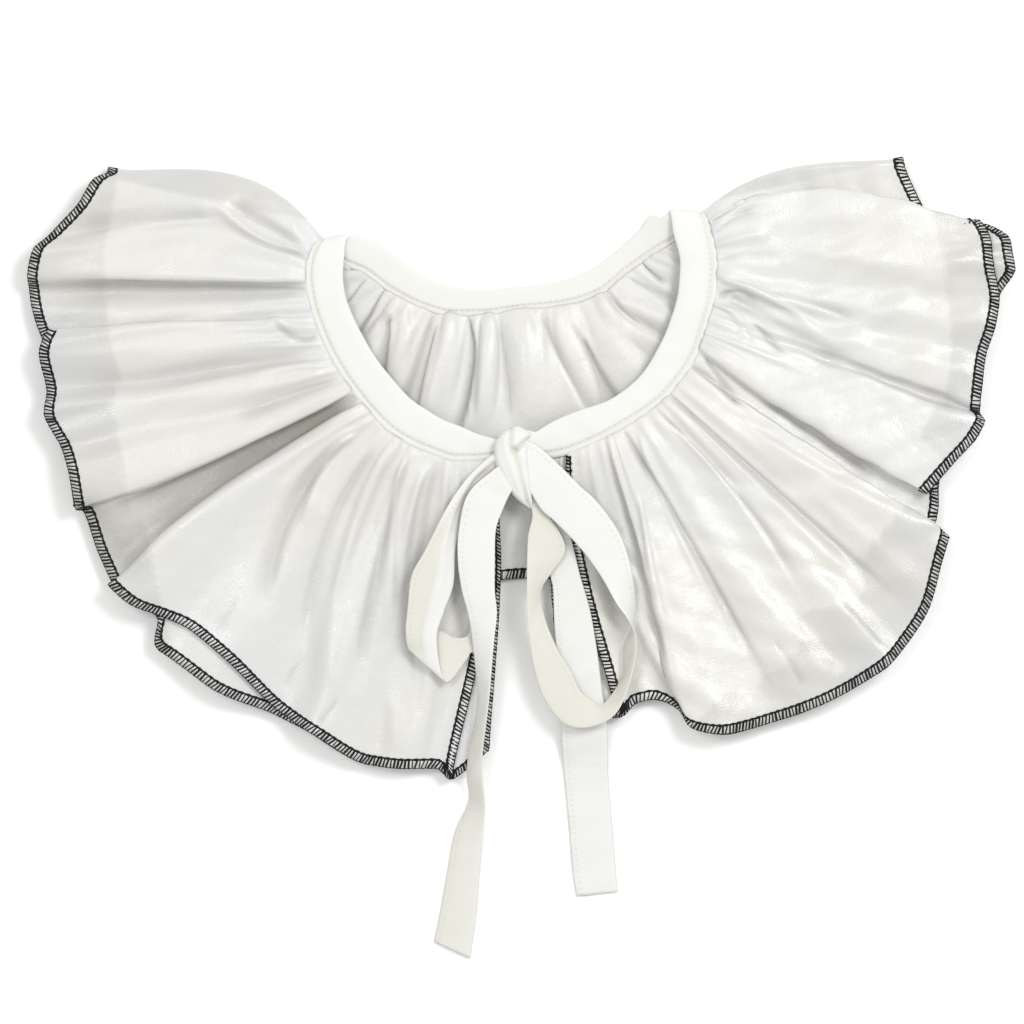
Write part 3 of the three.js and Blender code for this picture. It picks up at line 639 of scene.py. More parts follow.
def column_places(rows, first, last):
    """Positions of the mesh columns in rows, closer in front than behind."""
    places = []
    for k in range(first, last):
        apart = np.hypot(rows["x"][k + 1] - rows["x"][k], rows["y"][k + 1] - rows["y"][k])
        in_front = rows["facing"][k] + rows["facing"][k + 1] > 0
        steps = max(4, int(np.ceil(apart / (FRONT_COLUMN if in_front else BACK_COLUMN))))
        places.extend(k + np.arange(steps) / steps)
    return np.array(places + [last])


def fold_points(fold, depth):
    """Smooth surface of the ruffle, columns by rows, depth 0 at the seam and 1 at the hem."""
    start = seam_points(fold["seam"])
    reach = np.stack([fold["x"], fold["y"]], axis=1) - start[:, :2]
    size = np.linalg.norm(reach, axis=1)[:, None]
    v = np.clip(depth, 0, 1)
    bow = fold["bow"][:, None] * v * (1 - v) ** 1.5 / BOW_PEAK
    level = fold["level"][:, None]
    seam_z = (start[:, 2] + SEAM_OFFSET * fold["facing"])[:, None]
    fall = level + (seam_z - level) * (1 - soft_step(0, FALL_END, v))
    crest = fold["lift"][:, None] * v ** LIFT_POWER * (1 - soft_step(0.1, fold["reach"][:, None], v))
    x = start[:, :1] + reach[:, :1] * depth - reach[:, 1:] / size * bow
    y = start[:, 1:2] + reach[:, 1:] * depth + reach[:, :1] / size * bow
    return np.stack([x, y, fall + crest], axis=2)


def grid_normals(points, smooth=0):
    """Outward directions of a grid of points, averaged along it where smooth is given."""
    along = np.gradient(points, axis=0)
    down = np.gradient(points, axis=1)
    normals = unit(np.cross(along, down))
    for _ in range(smooth):
        padded = np.concatenate([normals[:1], normals, normals[-1:]])
        normals = unit(padded[:-2] + 2 * padded[1:-1] + padded[2:])
    return normals


def gathers(seam, depth):
    """Small pleats that start at the seam and run out at different depths."""
    chance = np.random.default_rng(4)
    height = np.zeros((len(seam), depth.shape[1]))
    place = 0.5
    while place < seam_length[-1]:
        pitch = chance.uniform(*GATHER_PITCH)
        tall = chance.uniform(*GATHER_HEIGHT)
        run = SHORTEST_GATHER + GATHER_REACH * chance.uniform() ** 1.8
        wide = pitch * chance.uniform(*GATHER_WIDTH)
        lean = chance.uniform(-GATHER_LEAN, GATHER_LEAN)
        near = np.exp(-(((seam[:, None] - place) - lean * depth) / wide) ** 2)
        rise = GATHER_AT_SEAM + (1 - GATHER_AT_SEAM) * soft_step(0, 0.12, depth / run * 0.5)
        height += near * tall * rise * (1 - soft_step(0.15, 1, depth / run))
        place += pitch
    return height - GATHER_SINK


def beside_line(x, y, line):
    """How far points are from a line of straight parts, on which side of it and how far along it."""
    nearest = np.full(x.shape, np.inf)
    side = np.zeros(x.shape)
    share = np.zeros(x.shape)
    for n, (a, b) in enumerate(zip(line[:-1], line[1:])):
        along = b - a
        part = np.clip(((x - a[0]) * along[0] + (y - a[1]) * along[1]) / (along @ along), 0, 1)
        dx, dy = x - a[0] - part * along[0], y - a[1] - part * along[1]
        apart = np.hypot(dx, dy)
        closer = apart < nearest
        nearest = np.where(closer, apart, nearest)
        side = np.where(closer, along[0] * dy - along[1] * dx, side)
        share = np.where(closer, (n + part) / (len(line) - 1), share)
    return nearest, side, share


def crease_relief(points, text):
    """Ridges and dips along curved lines, with a fall of their own to each side, and the shade painted
    along them.
    """
    total = np.zeros(points.shape[:2])
    dark = np.zeros(points.shape[:2])
    t = np.linspace(0, 1, CREASE_PARTS + 1)[:, None]
    table = read_table(CREASE_COLUMNS, text)
    for k in range(len(table["high"])):
        a, b, c = (np.array([table[f"x{n}"][k], table[f"y{n}"][k]]) for n in (1, 2, 3))
        line = a * (1 - t) * (1 - 2 * t) + b * 4 * t * (1 - t) + c * t * (2 * t - 1)
        nearest, side, share = beside_line(points[..., 0], points[..., 1], line)
        width = np.where(side > 0, table["left"][k], table["right"][k])
        width = width * (CREASE_START + CREASE_WIDENING * share)
        fade = soft_step(*FADE_IN, share) * (1 - soft_step(*FADE_OUT, share))
        form = np.exp(-(nearest / np.maximum(width, NARROWEST_CREASE)) ** 2) * fade
        total += form * table["high"][k]
        dark += form * table["dark"][k]
    return total, dark


def inside_outline(points, text):
    """1 at points that lie within an outline seen from above, fading to 0 across its edge."""
    corners = np.array([float(word) for word in text.split()]).reshape(-1, 2)
    outline = np.concatenate([corners, corners[:1]])
    x, y = points[..., 0], points[..., 1]
    inside = np.zeros(x.shape, dtype=bool)
    for (ax, ay), (bx, by) in zip(outline[:-1], outline[1:]):
        crosses = (ay > y) != (by > y)
        inside ^= crosses & (x < (bx - ax) * (y - ay) / (by - ay if by != ay else 1) + ax)
    nearest = beside_line(x, y, outline)[0]
    return soft_step(-OUTLINE_BLUR, OUTLINE_BLUR, np.where(inside, nearest, -nearest))


def crumple(points, seam, depth):
    """Slight unevenness of the lying cloth, mostly along the folds."""
    spread = seam[:, None] + 0 * depth
    slow = ripple(spread * (1 + 0.15 * depth), 21, 6, 6, 17) * 0.5 * soft_step(0.1, 0.5, depth)
    hem = ripple(spread, 22, 6, 3.5, 9) * 0.55 * soft_step(0.6, 1, depth)
    cross = ripple(points[..., 0] + 0.6 * points[..., 1], 23, 6, 14, 50) * 0.06
    return slow + hem + cross * soft_step(0.05, 0.3, depth)


def ruffle_grid(first, last, shows, step_down):
    """Middle surface of one layer, its directions, and its place on the flat cloth."""
    fold = between_rows(folds, column_places(folds, first, last))
    start = seam_points(fold["seam"])
    size = np.hypot(fold["x"] - start[:, 0], fold["y"] - start[:, 1])
    hem = 1 + shows * fold["under"] / size
    share = (np.arange(DEPTH_ROWS) / (DEPTH_ROWS - 1)) ** ROW_SPREAD
    depth = share[None, :] * hem[:, None]
    points = fold_points(fold, depth)
    front = soft_step(0, 1, fold["facing"])[:, None]
    behind = soft_step(0, 1, -fold["facing"])[:, None]
    relief = gathers(fold["seam"], depth) * (1 - FLATTER_BEHIND * behind)
    relief = relief + crumple(points, fold["seam"], depth)
    front_form, front_dark = crease_relief(points, FRONT_CREASES)
    back_form, back_dark = crease_relief(points, BACK_CREASES)
    pressed = PRESSED_HEIGHT * np.tanh(back_form / PRESSED_HEIGHT)
    relief = relief + front_form * front + pressed * behind
    relief = relief * (1 - PRESSED_SHARE * behind * soft_step(*PRESSED_FROM, depth))
    # Painted shade in the dips of the creases.
    dark = np.clip(front_dark * front + back_dark * behind, 0, 1)
    # Where the back layer lies beneath, the organza is whiter; where it is single it is greyer, partly as
    # painted shade of the table showing through.
    lined = inside_outline(points, BACK_OUTLINE)
    normals = grid_normals(points, 3)
    even = np.sum(normals * grid_normals(points), axis=2)
    for _ in range(2):
        even[1:-1] = np.minimum(even[1:-1], np.minimum(even[:-2], even[2:]))
    relief = relief * soft_step(0.3, 0.9, even) * (front - behind)
    points = points + normals * relief[:, :, None]
    points[..., 2] = np.maximum(points[..., 2], LOWEST)
    if step_down:
        points = points - grid_normals(points, 6) * step_down
    hem_length = length_along(points[:, -1])
    uv = np.stack([np.broadcast_to(hem_length[:, None], depth.shape), depth * size.mean()], axis=2)
    shade = (SINGLE_SHARE + (1 - SINGLE_SHARE) * lined) * (1 - DIP_SHARE * dark)
    return points, grid_normals(points), uv, shade


def cloth_piece(name, grid, normals, uv, shade):
    """Closed thin sheet from the middle surface of a cloth."""
    columns, rows = grid.shape[:2]
    upper = (grid + normals * CLOTH / 2).reshape(-1, 3)
    lower = (grid - normals * CLOTH / 2).reshape(-1, 3)
    count = columns * rows
    faces = []
    for i in range(columns - 1):
        for j in range(rows - 1):
            a, b = i * rows + j, (i + 1) * rows + j
            faces.append((a, b, b + 1, a + 1))
            faces.append((count + a, count + a + 1, count + b + 1, count + b))
    border = [i * rows for i in range(columns - 1)]
    border += [(columns - 1) * rows + j for j in range(rows - 1)]
    border += [i * rows + rows - 1 for i in range(columns - 1, 0, -1)]
    border += range(rows - 1, 0, -1)
    for a, b in zip(border, border[1:] + border[:1]):
        faces.append((b, a, count + a, count + b))
    return make_mesh(name, np.concatenate([upper, lower]), faces, np.tile(uv.reshape(-1, 2), (2, 1)),
                     np.tile(shade.reshape(-1), 2))


def tones(material, value, *stops):
    """Colour that follows a value from stop to stop, each a position and a colour."""
    ramp = add_node(material, "ShaderNodeValToRGB", {"Fac": value})
    elements = ramp.color_ramp.elements
    for k, (position, colour) in enumerate(stops):
        stop = elements[k] if k < 2 else elements.new(position)
        stop.position = position
        stop.color = colour
    return ramp.outputs["Color"]


def sheer_organza(name):
    """Crisp satiny sheer weave with a sparkling grain, painted grey as shade in its dips, and greyer
    where it is single.
    """
    material, shader = new_material(name)
    place = add_node(material, "ShaderNodeTexCoord", {}).outputs
    shade = add_node(material, "ShaderNodeAttribute", {}, attribute_name="shade")
    cloud = noise_over(material, place["Object"], 28)
    uneven = add_node(material, "ShaderNodeMath", {0: cloud, 1: CLOUDINESS, 2: shade.outputs["Fac"]},
                      operation="MULTIPLY_ADD")
    # From painted dip shade through single organza to lined organza, as the shade attribute rises.
    tone = tones(material, uneven.outputs["Value"], (SINGLE_SHARE * (1 - DIP_SHARE), DIP_SHADE),
                 (SINGLE_SHARE + 0.04, SINGLE_WHITE), (1, LINED_WHITE))
    tint = tones(material, noise_over(material, place["Object"], 13), (0.4, COOL_TINT), (0.6, WARM_TINT))
    tinted = add_node(material, "ShaderNodeMix", {"Factor": 1, "A": tone, "B": tint},
                      data_type="RGBA", blend_type="MULTIPLY")
    crinkle = noise_over(material, place["Object"], 110, 3)
    smoothest, roughest = SATIN_ROUGHNESS
    satin = add_node(material, "ShaderNodeMapRange", {
        "Value": crinkle,
        "From Min": 0.35,
        "From Max": 0.65,
        "To Min": smoothest,
        "To Max": roughest,
    })
    grain = raised_by(material, noise_over(material, place["UV"], 1500), 0.8, 0.00016)
    set_inputs(material, shader, {
        "Base Color": tinted.outputs["Result"],
        "Roughness": satin.outputs["Result"],
        "Specular IOR Level": 0.65,
        "Sheen Weight": 0.15,
        "Normal": raised_by(material, crinkle, 0.5, 0.001, Normal=grain),
    })
    return material


folds = fold_rows()
last_fold = len(folds["x"]) - 1
organza = sheer_organza("white_organza")
outer_grid, outer_normals, outer_uv, outer_shade = ruffle_grid(1, last_fold - 1, 0, 0)
outer_layer = cloth_piece("outer_ruffle_cloth", outer_grid, outer_normals, outer_uv, outer_shade)
outer_layer.data.materials.append(organza)
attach(outer_layer, "root")
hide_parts("ruffle_outer")

# Inner ruffle layer
# The same cut of organza, gathered into the band with the outer one and nested in its folds. It shows
# past the outer hem at the lower left, at the right edge and at both front ends.
LAYER_STEP = 1.9

inner_grid, inner_normals, inner_uv, inner_shade = ruffle_grid(0, last_fold, 1, LAYER_STEP)
inner_layer = cloth_piece("inner_ruffle_cloth", inner_grid, inner_normals, inner_uv, inner_shade)
inner_layer.data.materials.append(organza)
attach(inner_layer, "root")
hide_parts("ruffle_inner")

# Overlocked edges
# Black overlock thread sewn over the raw edge of each layer: a needle line inside, slanted loops on both
# faces, and a twisted line round the very edge, with the white cloth showing between the loops. Towards
# the neckband the front ends roll over, and less and less of the stitching's width shows.
OVERLOCK_WIDTH = 3.4
ROLLED_SHARE = 0.45
UNROLLING = 1.2
END_COLUMNS = 20
LOOP_PITCH = 1.45
LOOP_SLANT = 0.9
SLANT_SPREAD = 0.55
LOOP_BULGE = 0.06
LOOP_TUCK = 0.15
PAST_EDGE = 0.28
THREAD_TWIST = 0.35
MARKS_AHEAD = 40
LOOP_HALF_WIDTH = (0.22, 0.48)
THREAD_HALF_HEIGHT = 0.16
NEEDLE_HALF_WIDTH = 0.44
EDGE_RADIUS = 0.22
THREAD_BLACK = (0.012, 0.012, 0.014, 1)


def on_cloth(lines, distances):
    """Points at a distance from the start of each of several lines that run over the cloth."""
    pairs = zip(lines, distances)
    return np.array([points_at(distance, length_along(line), line) for line, distance in pairs])


def hem_path(grid, normals, inset):
    """Line inside the border of a layer: down its left end, along the hem, up its right end."""
    hem = grid[:, -1]
    inside = on_cloth(grid[:, ::-1], np.full(len(grid), inset))
    shown = inset * np.minimum(1, ROLLED_SHARE + UNROLLING * np.linspace(0, 1, grid.shape[1]))
    across = grid.swapaxes(0, 1)
    left = on_cloth(across[:, :END_COLUMNS], shown)
    right = on_cloth(across[:, :-END_COLUMNS - 1:-1], shown)
    keep_left = length_along(grid[0, ::-1])[::-1] > inset
    keep_right = length_along(grid[-1, ::-1])[::-1] > inset
    past_left = np.linalg.norm(hem - hem[0], axis=1) > inset
    past_right = np.linalg.norm(hem - hem[-1], axis=1) > inset
    keep = past_left & past_right
    corner_left = hem[0] + (unit(hem[3] - hem[0]) + unit(grid[0, -2] - hem[0])) * inset
    corner_right = hem[-1] + (unit(hem[-4] - hem[-1]) + unit(grid[-1, -2] - hem[-1])) * inset
    lines = [left[keep_left], corner_left[None], inside[keep], corner_right[None],
             right[keep_right][::-1]]
    outs = [normals[0][keep_left], normals[0, -1:], normals[keep, -1], normals[-1, -1:],
            normals[-1][keep_right][::-1]]
    return np.concatenate(lines), np.concatenate(outs)


def along_path(line, outs, marks):
    """Points and directions at shares of a line's length."""
    length = length_along(line)
    at = marks * length[-1]
    return points_at(at, length, line), unit(points_at(at, length, outs))


def matched_marks(outer_line, inner_line, count):
    """Shares of the inner line that lie opposite even shares of the outer one."""
    outer_length, inner_length = length_along(outer_line), length_along(inner_line)
    even = np.linspace(0, 1, count)
    marks = np.empty(count)
    near = 0
    for k, point in enumerate(points_at(even * outer_length[-1], outer_length, outer_line)):
        window = inner_line[near:near + MARKS_AHEAD]
        near += int(np.argmin(np.linalg.norm(window - point, axis=1)))
        marks[k] = inner_length[near] / inner_length[-1]
    smooth = np.convolve(np.pad(marks, 3, mode="edge"), np.ones(7) / 7, mode="valid")
    return even, np.maximum.accumulate(smooth)


def thread_tube(line, ups, wide, high, sides):
    """Rings of one thread that lies on the cloth along a line."""
    along = unit(np.gradient(line, axis=0))
    side = unit(np.cross(ups, along))
    angle = 2 * np.pi * np.arange(sides) / sides
    wide = np.broadcast_to(wide, (len(line),))[:, None, None]
    return (line[:, None, :] + side[:, None, :] * np.cos(angle)[None, :, None] * wide
            + unit(np.cross(along, side))[:, None, :] * np.sin(angle)[None, :, None] * high)


def overlock(name, grid, normals):
    """The needle lines, the loops over the edge and the edge line of one layer, as one mesh."""
    edge_line, edge_outs = hem_path(grid, normals, 0.0)
    needle_line, needle_outs = hem_path(grid, normals, OVERLOCK_WIDTH)
    count = int(length_along(edge_line)[-1] / LOOP_PITCH)
    even, marks = matched_marks(edge_line, needle_line, count)
    edge, edge_up = along_path(edge_line, edge_outs, even)
    needle, needle_up = along_path(needle_line, needle_outs, marks)
    out = unit(edge - needle)
    points, faces = [], []

    def add(rings):
        start = sum(len(p) for p in points)
        points.append(rings.reshape(-1, 3))
        faces.extend(tuple(start + i for i in face) for face in tube_faces(*rings.shape[:2]))

    rise = CLOTH / 2 + THREAD_HALF_HEIGHT
    twist = 1 + THREAD_TWIST * np.where(np.arange(count) % 2, 1, -1)
    for face in (1, -1):
        add(thread_tube(needle + needle_up * rise * face, needle_up * face, NEEDLE_HALF_WIDTH * twist,
                        THREAD_HALF_HEIGHT, 6))
    add(thread_tube(edge + out * 0.1, edge_up, EDGE_RADIUS * twist, EDGE_RADIUS * 0.8, 6))
    along = unit(np.gradient(edge, axis=0))
    chance = np.random.default_rng(8)
    for k in range(1, count - 1):
        shift = along[k] * (LOOP_SLANT + chance.uniform(-SLANT_SPREAD, SLANT_SPREAD))
        half_width = chance.uniform(*LOOP_HALF_WIDTH)
        span = edge[k] - needle[k]
        up_a, up_b = needle_up[k], edge_up[k]
        path = np.array([
            needle[k] - shift * 0.5 + up_a * rise,
            needle[k] + span * 0.5 + (up_a + up_b) / 2 * (rise + LOOP_BULGE),
            edge[k] + shift * 0.5 + up_b * rise - out[k] * LOOP_TUCK,
            edge[k] + shift * 0.5 + out[k] * PAST_EDGE,
            edge[k] + shift * 0.5 - up_b * rise - out[k] * LOOP_TUCK,
            needle[k] + span * 0.5 + shift - (up_a + up_b) / 2 * (rise + LOOP_BULGE),
            needle[k] + shift * 1.5 - up_a * rise,
        ])
        ups = np.array([up_a, up_b, unit(up_b + out[k]), out[k], unit(out[k] - up_b), -up_b, -up_a])
        add(thread_tube(path, ups, half_width, THREAD_HALF_HEIGHT, 4))
    return make_mesh(name, np.concatenate(points), faces)


def black_thread(name):
    """Spun black thread with a dull shine."""
    material, shader = new_material(name)
    place = add_node(material, "ShaderNodeTexCoord", {}).outputs
    set_inputs(material, shader, {
        "Base Color": THREAD_BLACK,
        "Roughness": 0.7,
        "Specular IOR Level": 0.15,
        "Normal": raised_by(material, noise_over(material, place["Object"], 2500), 0.3, 0.0001),
    })
    return material


thread = black_thread("overlock_black")
for layer_name, node, grid, normals in (
    ("outer_overlock_thread", "edging_outer", outer_grid, outer_normals),
    ("inner_overlock_thread", "edging_inner", inner_grid, inner_normals),
):
    edging = overlock(layer_name, grid, normals)
    edging.data.materials.append(thread)
    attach(edging, "root")
    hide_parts(node)

# Knot of the bow
# The two folded ties crossed and pulled tight: one wraps over the other from the upper left to the lower
# right, with sunk creases beside it that are painted beige as shade, the deeper the more.
KNOT_RINGS = 40
KNOT_SIDES = 48
KNOT_FULLNESS = 2.6
KNOT_END_FULLNESS = 7
SMALLEST_END = 0.15
KNOT = """
53.4 -4.6 2 11 16
50 -8 4.4 8.5 18
45.4 -10.4 3.4 7.5 18.5
40 -10.2 3.4 7.5 18.5
32 -6.8 4.2 7.8 18
25.2 -2.4 5 8.6 16.5
20.6 2.6 6 10 14
"""
KNOT_CREASES = (
    ((-3.6, 53), (-3.8, 49), (-4, 46), (-2, 43.2)),
    ((-2, 43.6), (-0.4, 45), (3, 47.8), (6, 50)),
    ((-3, 44), (-0.8, 38), (0.6, 31), (2.6, 23)),
    ((-8, 47), (-7.2, 41), (-4.6, 34), (-1, 27)),
    ((1.6, 41), (3, 35.6), (3.4, 28), (5, 21)),
)
CREASE_DEPTH = (1.3, 2.2, 1.2, 0.4, -0.8)
CREASE_HALF_WIDTH = 0.9


def crease_depth(x, y):
    """How deep the creases of the knot are at points seen from above."""
    depth = np.zeros_like(x)
    for line, deep in zip(KNOT_CREASES, CREASE_DEPTH):
        nearest = beside_line(x, y, np.array(line, float))[0]
        depth += deep * np.exp(-(nearest / CREASE_HALF_WIDTH) ** 2)
    return depth


knot_rows = read_table("y left right low high", KNOT)
knot_fine = between_rows(knot_rows, np.linspace(0, len(knot_rows["y"]) - 1, KNOT_RINGS))
angle = 2 * np.pi * np.arange(KNOT_SIDES) / KNOT_SIDES
squareness = np.abs(np.cos(angle)) ** KNOT_FULLNESS + np.abs(np.sin(angle)) ** KNOT_FULLNESS
radius = squareness ** (-1 / KNOT_FULLNESS)
from_middle = np.abs(np.linspace(-1, 1, KNOT_RINGS))
end_round = np.sqrt(np.clip(1 - from_middle ** KNOT_END_FULLNESS, SMALLEST_END, 1))[:, None]


def knot_side(low, high, swing):
    """Places across the knot between two of its sides, ring by ring."""
    return (low + high)[:, None] / 2 + (high - low)[:, None] / 2 * end_round * (radius * swing)


knot_x = knot_side(knot_fine["left"], knot_fine["right"], np.cos(angle))
knot_z = knot_side(knot_fine["low"], knot_fine["high"], np.sin(angle))
knot_y = np.broadcast_to(knot_fine["y"][:, None], knot_x.shape)
knot_z = knot_z - crease_depth(knot_x, knot_y) * soft_step(-0.2, 0.6, np.sin(angle))[None, :]
knot_points = np.stack([knot_x, knot_y, knot_z], axis=2)
knot_faces = tube_faces(KNOT_RINGS, KNOT_SIDES)
knot_uv = knot_points[..., :2].reshape(-1, 2)
# Painted shade: beige in the knot's creases, more where they sink deeper.
knot_shade = soft_step(0.2, 1.4, crease_depth(knot_x, knot_y)).reshape(-1)
knot_cloth = make_mesh("bow_knot_cloth", knot_points.reshape(-1, 3), knot_faces, knot_uv, knot_shade)
knot_cotton = stitched_cotton("knot_cotton", COTTON_WHITE, COTTON_PAINTED_SHADE, -100)
knot_cloth.data.materials.append(knot_cotton)
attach(knot_cloth, "root")
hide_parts("bow_knot")

# Loops and ends of the bow
# The neckband's ends go on as ties: cotton folded to about 16 mm and stitched along one edge. Two loops
# and two ends come out of the knot; the left end stands on its edge where it leaves the ruffle.
TIE_THICK = 1.0
TIE_STEP = 1.2
TIE_SIDES = 24
TIE_STITCH = 2.0
TIE_GROOVE = 0.16
TIE_WRINKLE = 0.22
LOOP_CREASE = 1.3
LOOP_CREASE_SHARE = 0.13
ROLL_WAVE = 14
ROLL_WAVE_HEIGHT = 0.3
# Painted shade on the inside faces of the ties and loops.
TIE_INSIDE_SHADE = 0.9
TIE_COLUMNS = "ax ay az bx by bz"
LOOP_LEFT = """
-8.6 43 14 -4 38.4 14
-13.2 40.4 14.4 -9.4 36.4 13
-21.6 32 15.8 -17.4 29.6 13
-29.2 20.8 16.4 -22.6 18.4 13
-37.6 4.4 17 -25.6 4.4 14.2
-43.2 -6 17 -26.6 -10 14.6
-44.8 -18.8 16 -30.4 -20.8 15
-45.6 -29.6 15 -33.2 -32 15
-43.2 -36 12.6 -29.6 -48.8 12.6
-33.2 -28.4 12 -21.2 -39.6 11
-25.6 -31 11.4 -19.6 -37 10.8
-20.4 -29 11 -14.4 -36 10.8
-20.6 -16 11.4 -11.6 -20 11.4
-20.5 0 12 -11.4 -2.8 12
-15.5 16 12 -9.4 13 12
-10.6 30 12 -5.4 26 12
-5 34.5 12 -1 30 12
"""
LOOP_RIGHT = """
-1 49 13.5 -5 38 13.5
7 45.6 15.3 0 34 15.3
16.8 36.8 15.3 8 20.8 15.3
24 29.6 15.3 13.2 16 15.3
31.2 22.8 15.3 20.4 8.8 15.3
39.6 10.8 15 27.2 0.8 15.6
44 -2 14 33.2 -8 16
46 -14.8 10 38.4 -17.2 17
45.6 -24.8 9 43.6 -24.4 18
41.4 -34 9 46.4 -32 17.5
40.4 -47 9.4 44.8 -44.8 16.5
33.2 -57.4 10.4 38.8 -60.4 15
28.8 -56 11 28.8 -66.4 13
24 -52 11.6 18.4 -65.6 12.2
20 -43.6 11.6 10 -56 12
14.8 -35.2 11.6 5.6 -43.2 12.6
10 -23.2 10.8 3.2 -27.2 14
8.4 -12.8 10 2.8 -12.8 15.6
12.8 -4.8 11.6 2.8 0 15
18 3.2 12.4 3.2 10 14
15.4 12 12.6 4.8 19.2 13
5 26.4 12.8 0 27.4 12.8
"""
TIE_LEFT = """
-6.4 38.4 16.4 -1 30.4 16.4
-10.6 36 16.6 -4 26.4 16.4
-20.8 26.4 17 -7.2 19.2 16.6
-24.4 12 17 -9.6 12 17
-24.8 -0.4 17 -10 -0.4 17
-23.2 -12 16.4 -10 -12 17
-20.8 -21.2 15.4 -9.2 -21.2 17
-19 -32.4 13.4 -10.4 -33.2 17.4
-17.2 -56 8 -12.4 -56 17
-20.4 -76 7.6 -14.8 -76 15.6
-21.4 -86 6.6 -15 -86 13
-20.8 -97 1.2 -14 -98 8.4
-26 -109.2 0.7 -14.8 -108 4
-29.6 -128.4 0.7 -16.4 -128 1.2
-32 -142 0.7 -17.2 -140 0.7
-34.4 -153.2 0.7 -20 -160 0.7
"""
TIE_RIGHT = """
0.4 33 10 6.6 33 10
6 24 9.5 15.6 24 9.5
12 -5.6 9 20.8 7.2 9.2
13.2 -12 8.9 24 -6 9
13.6 -24 8.8 28 -20 8.8
14.4 -35.2 8.6 30.8 -36 8.6
15.2 -52 8.2 32.8 -52 8.2
16.4 -66.4 6.4 34.8 -66.4 6.4
17.2 -78.8 2.4 35.2 -80 2.4
17.8 -86.4 0.7 35.4 -87 0.7
20 -109.2 0.7 37.2 -109.2 0.7
21.2 -124.4 0.7 38.4 -124.4 0.7
22.8 -134.8 0.7 39.2 -133.2 0.7
"""


def tie_relief(s, d, width, face):
    """Stitching sunk along one edge and soft slanting wrinkles."""
    groove = -TIE_GROOVE * np.exp(-((d - TIE_STITCH) / 0.4) ** 2)
    wrinkle = TIE_WRINKLE * ripple(s + 0.6 * d, 31, 5, 9, 22) * arch(d, width)
    return (groove + wrinkle) * arch(d, width) ** 0.3


def loop_left_ridge(s):
    """Where across the left loop its lengthwise crease lies."""
    return 0.3 + 0.33 * soft_step(15, 60, s)


def loop_left_relief(s, d, width, face):
    """The left loop is creased lengthwise up to its bend."""
    from_ridge = (d / width - loop_left_ridge(s)) / LOOP_CREASE_SHARE
    crest = np.exp(-from_ridge ** 2) * (1 - soft_step(70, 95, s))
    return tie_relief(s, d, width, face) + LOOP_CREASE * crest * face * arch(d, width) ** 0.3


def loop_left_painted_shade(s, share, face):
    """Painted shade beside the crease, first to its right and lower down to its left, and over the inside
    face.
    """
    left = soft_step(0, 0.12, loop_left_ridge(s) - share)
    turned = soft_step(28, 40, s)
    beside = (left * turned + (1 - left) * (1 - turned)) * 0.8
    return np.where(face > 0, beside * (1 - soft_step(85, 95, s)), TIE_INSIDE_SHADE)


def rolled_relief(s, d, width, face):
    """A tie that was rolled up keeps even slanting waves in its lower half."""
    wave = np.sin(2 * np.pi * (s + 0.5 * d) / ROLL_WAVE) * soft_step(60, 95, s)
    return tie_relief(s, d, width, face) + ROLL_WAVE_HEIGHT * wave * face * arch(d, width) ** 0.5


def left_end_painted_shade(s, share, face):
    """Painted shade over the inside face and on the lower, tilted part of the left end."""
    return np.where(face > 0, 0.85 * soft_step(92, 112, s) * (1 - 0.5 * share), TIE_INSIDE_SHADE)


# Painted shade over the inside face of a tie, which lies below on the right end and above on the right
# loop.
def inside_below(s, share, face):
    return np.where(face > 0, 0.0, TIE_INSIDE_SHADE)


def inside_above(s, share, face):
    return np.where(face > 0, TIE_INSIDE_SHADE, 0.0)


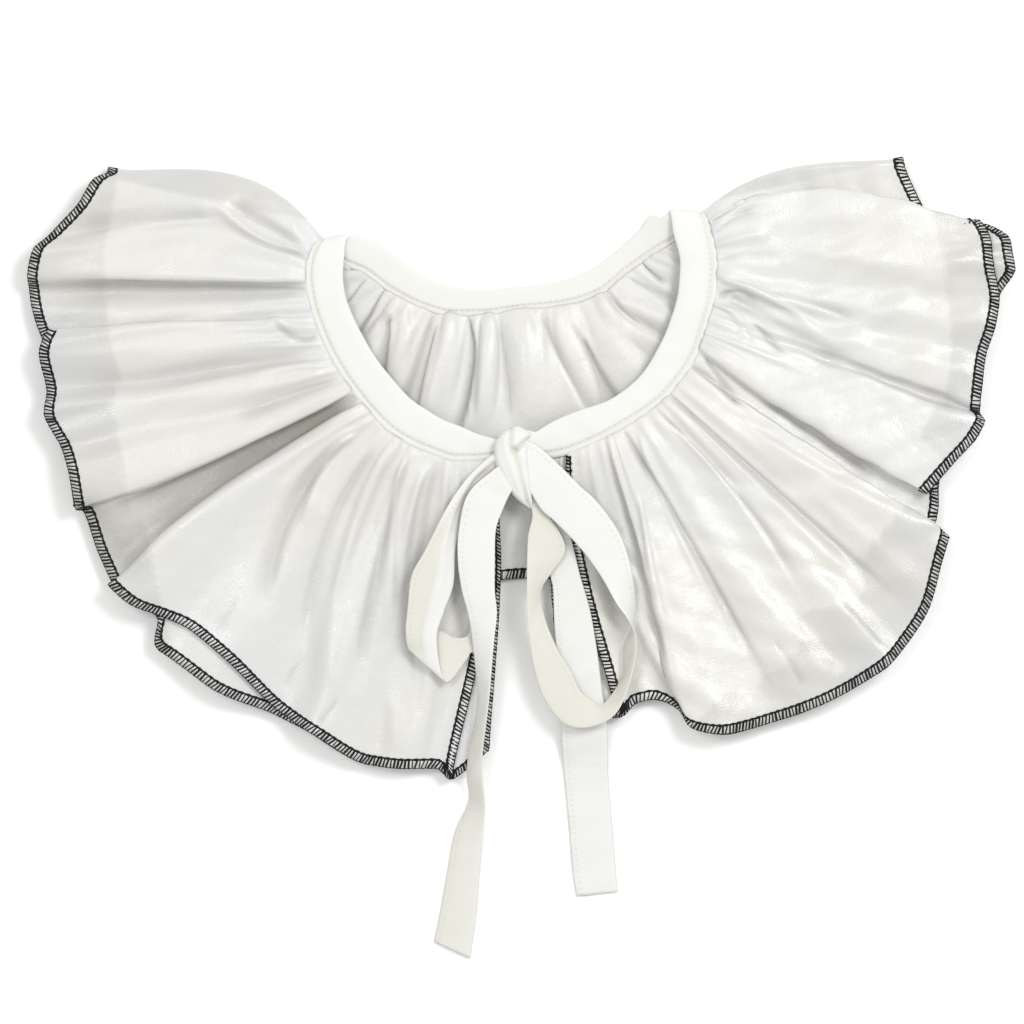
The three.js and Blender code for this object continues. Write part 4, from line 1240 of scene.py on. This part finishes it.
tie_cotton = stitched_cotton("tie_cotton", COTTON_WHITE, COTTON_PAINTED_SHADE, TIE_STITCH)
for piece_name, node, text, flat, relief, painted_shade in (
    ("bow_loop_left_cloth", "bow_loop_left", LOOP_LEFT, (0.0145, 0.187),
     loop_left_relief, loop_left_painted_shade),
    ("bow_loop_right_cloth", "bow_loop_right", LOOP_RIGHT, (0.0155, 0.23), tie_relief, inside_above),
    ("tie_end_left_cloth", "tie_end_left", TIE_LEFT, (0.0155, 0.199), tie_relief, left_end_painted_shade),
    ("tie_end_right_cloth", "tie_end_right", TIE_RIGHT, (0.0165, 0.172), rolled_relief, inside_below),
):
    tie_rows = read_table(TIE_COLUMNS, text)
    tie_fine = between_rows(tie_rows, np.arange(0, len(tie_rows["ax"]) - 1 + 1e-6, 0.05), rounded=True)
    edge_a = np.stack([tie_fine["ax"], tie_fine["ay"], tie_fine["az"]], axis=1)
    edge_b = np.stack([tie_fine["bx"], tie_fine["by"], tie_fine["bz"]], axis=1)
    tie = strip_piece(piece_name, edge_a, edge_b, TIE_THICK, TIE_STEP, TIE_SIDES, relief, painted_shade)
    tie.data.materials.append(tie_cotton)
    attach(tie, "root")
    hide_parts(node)

# Floor, light and camera
# The collar lies on a plain white table under soft daylight from the upper right, seen straight down.
FLOOR_DROP = 0.0004
PICTURE_CENTRE = (-0.00365, 0.0182)
PICTURE_WIDTH = 0.4096
LENS = 200
SENSOR = 36
MIDDLE_HEIGHT = 0.007
TABLE_WHITE = (0.98, 0.98, 0.98, 1)
DAYLIGHT_TONE = (1, 0.995, 0.985, 1)
DAYLIGHT = 0.78

bpy.ops.object.select_all(action="DESELECT")
bpy.ops.mesh.primitive_plane_add(size=4, location=(0, 0, -FLOOR_DROP))
floor = bpy.context.object
floor.name = "table_top"
matte_white, floor_shader = new_material("table_white")
set_inputs(matte_white, floor_shader, {"Base Color": TABLE_WHITE, "Roughness": 0.9})
floor.data.materials.append(matte_white)

world = bpy.data.worlds.new("studio")
world.use_nodes = True
sky = world.node_tree.nodes["Background"]
sky.inputs["Color"].default_value = DAYLIGHT_TONE
sky.inputs["Strength"].default_value = DAYLIGHT
bpy.context.scene.world = world


def soft_box(name, place, size, power):
    """Area light aimed at the middle of the collar."""
    light = bpy.data.lights.new(name, "AREA")
    light.shape = "SQUARE"
    light.size = size
    light.energy = power
    lamp = bpy.data.objects.new(name, light)
    lamp.location = place
    bpy.context.collection.objects.link(lamp)
    lamp.rotation_euler = lamp.location.to_track_quat("Z", "Y").to_euler()


soft_box("window_light", (0.68, 0.55, 1.3), 0.5, 11)
soft_box("lamp_light", (-0.5, 0.3, 1.4), 0.3, 4)

camera_data = bpy.data.cameras.new("camera")
camera_data.lens = LENS
camera_data.sensor_width = SENSOR
camera = bpy.data.objects.new("camera", camera_data)
camera.location = (*PICTURE_CENTRE, MIDDLE_HEIGHT + PICTURE_WIDTH * LENS / SENSOR)
bpy.context.collection.objects.link(camera)
bpy.context.scene.camera = camera
bpy.context.scene.view_settings.view_transform = "Standard"
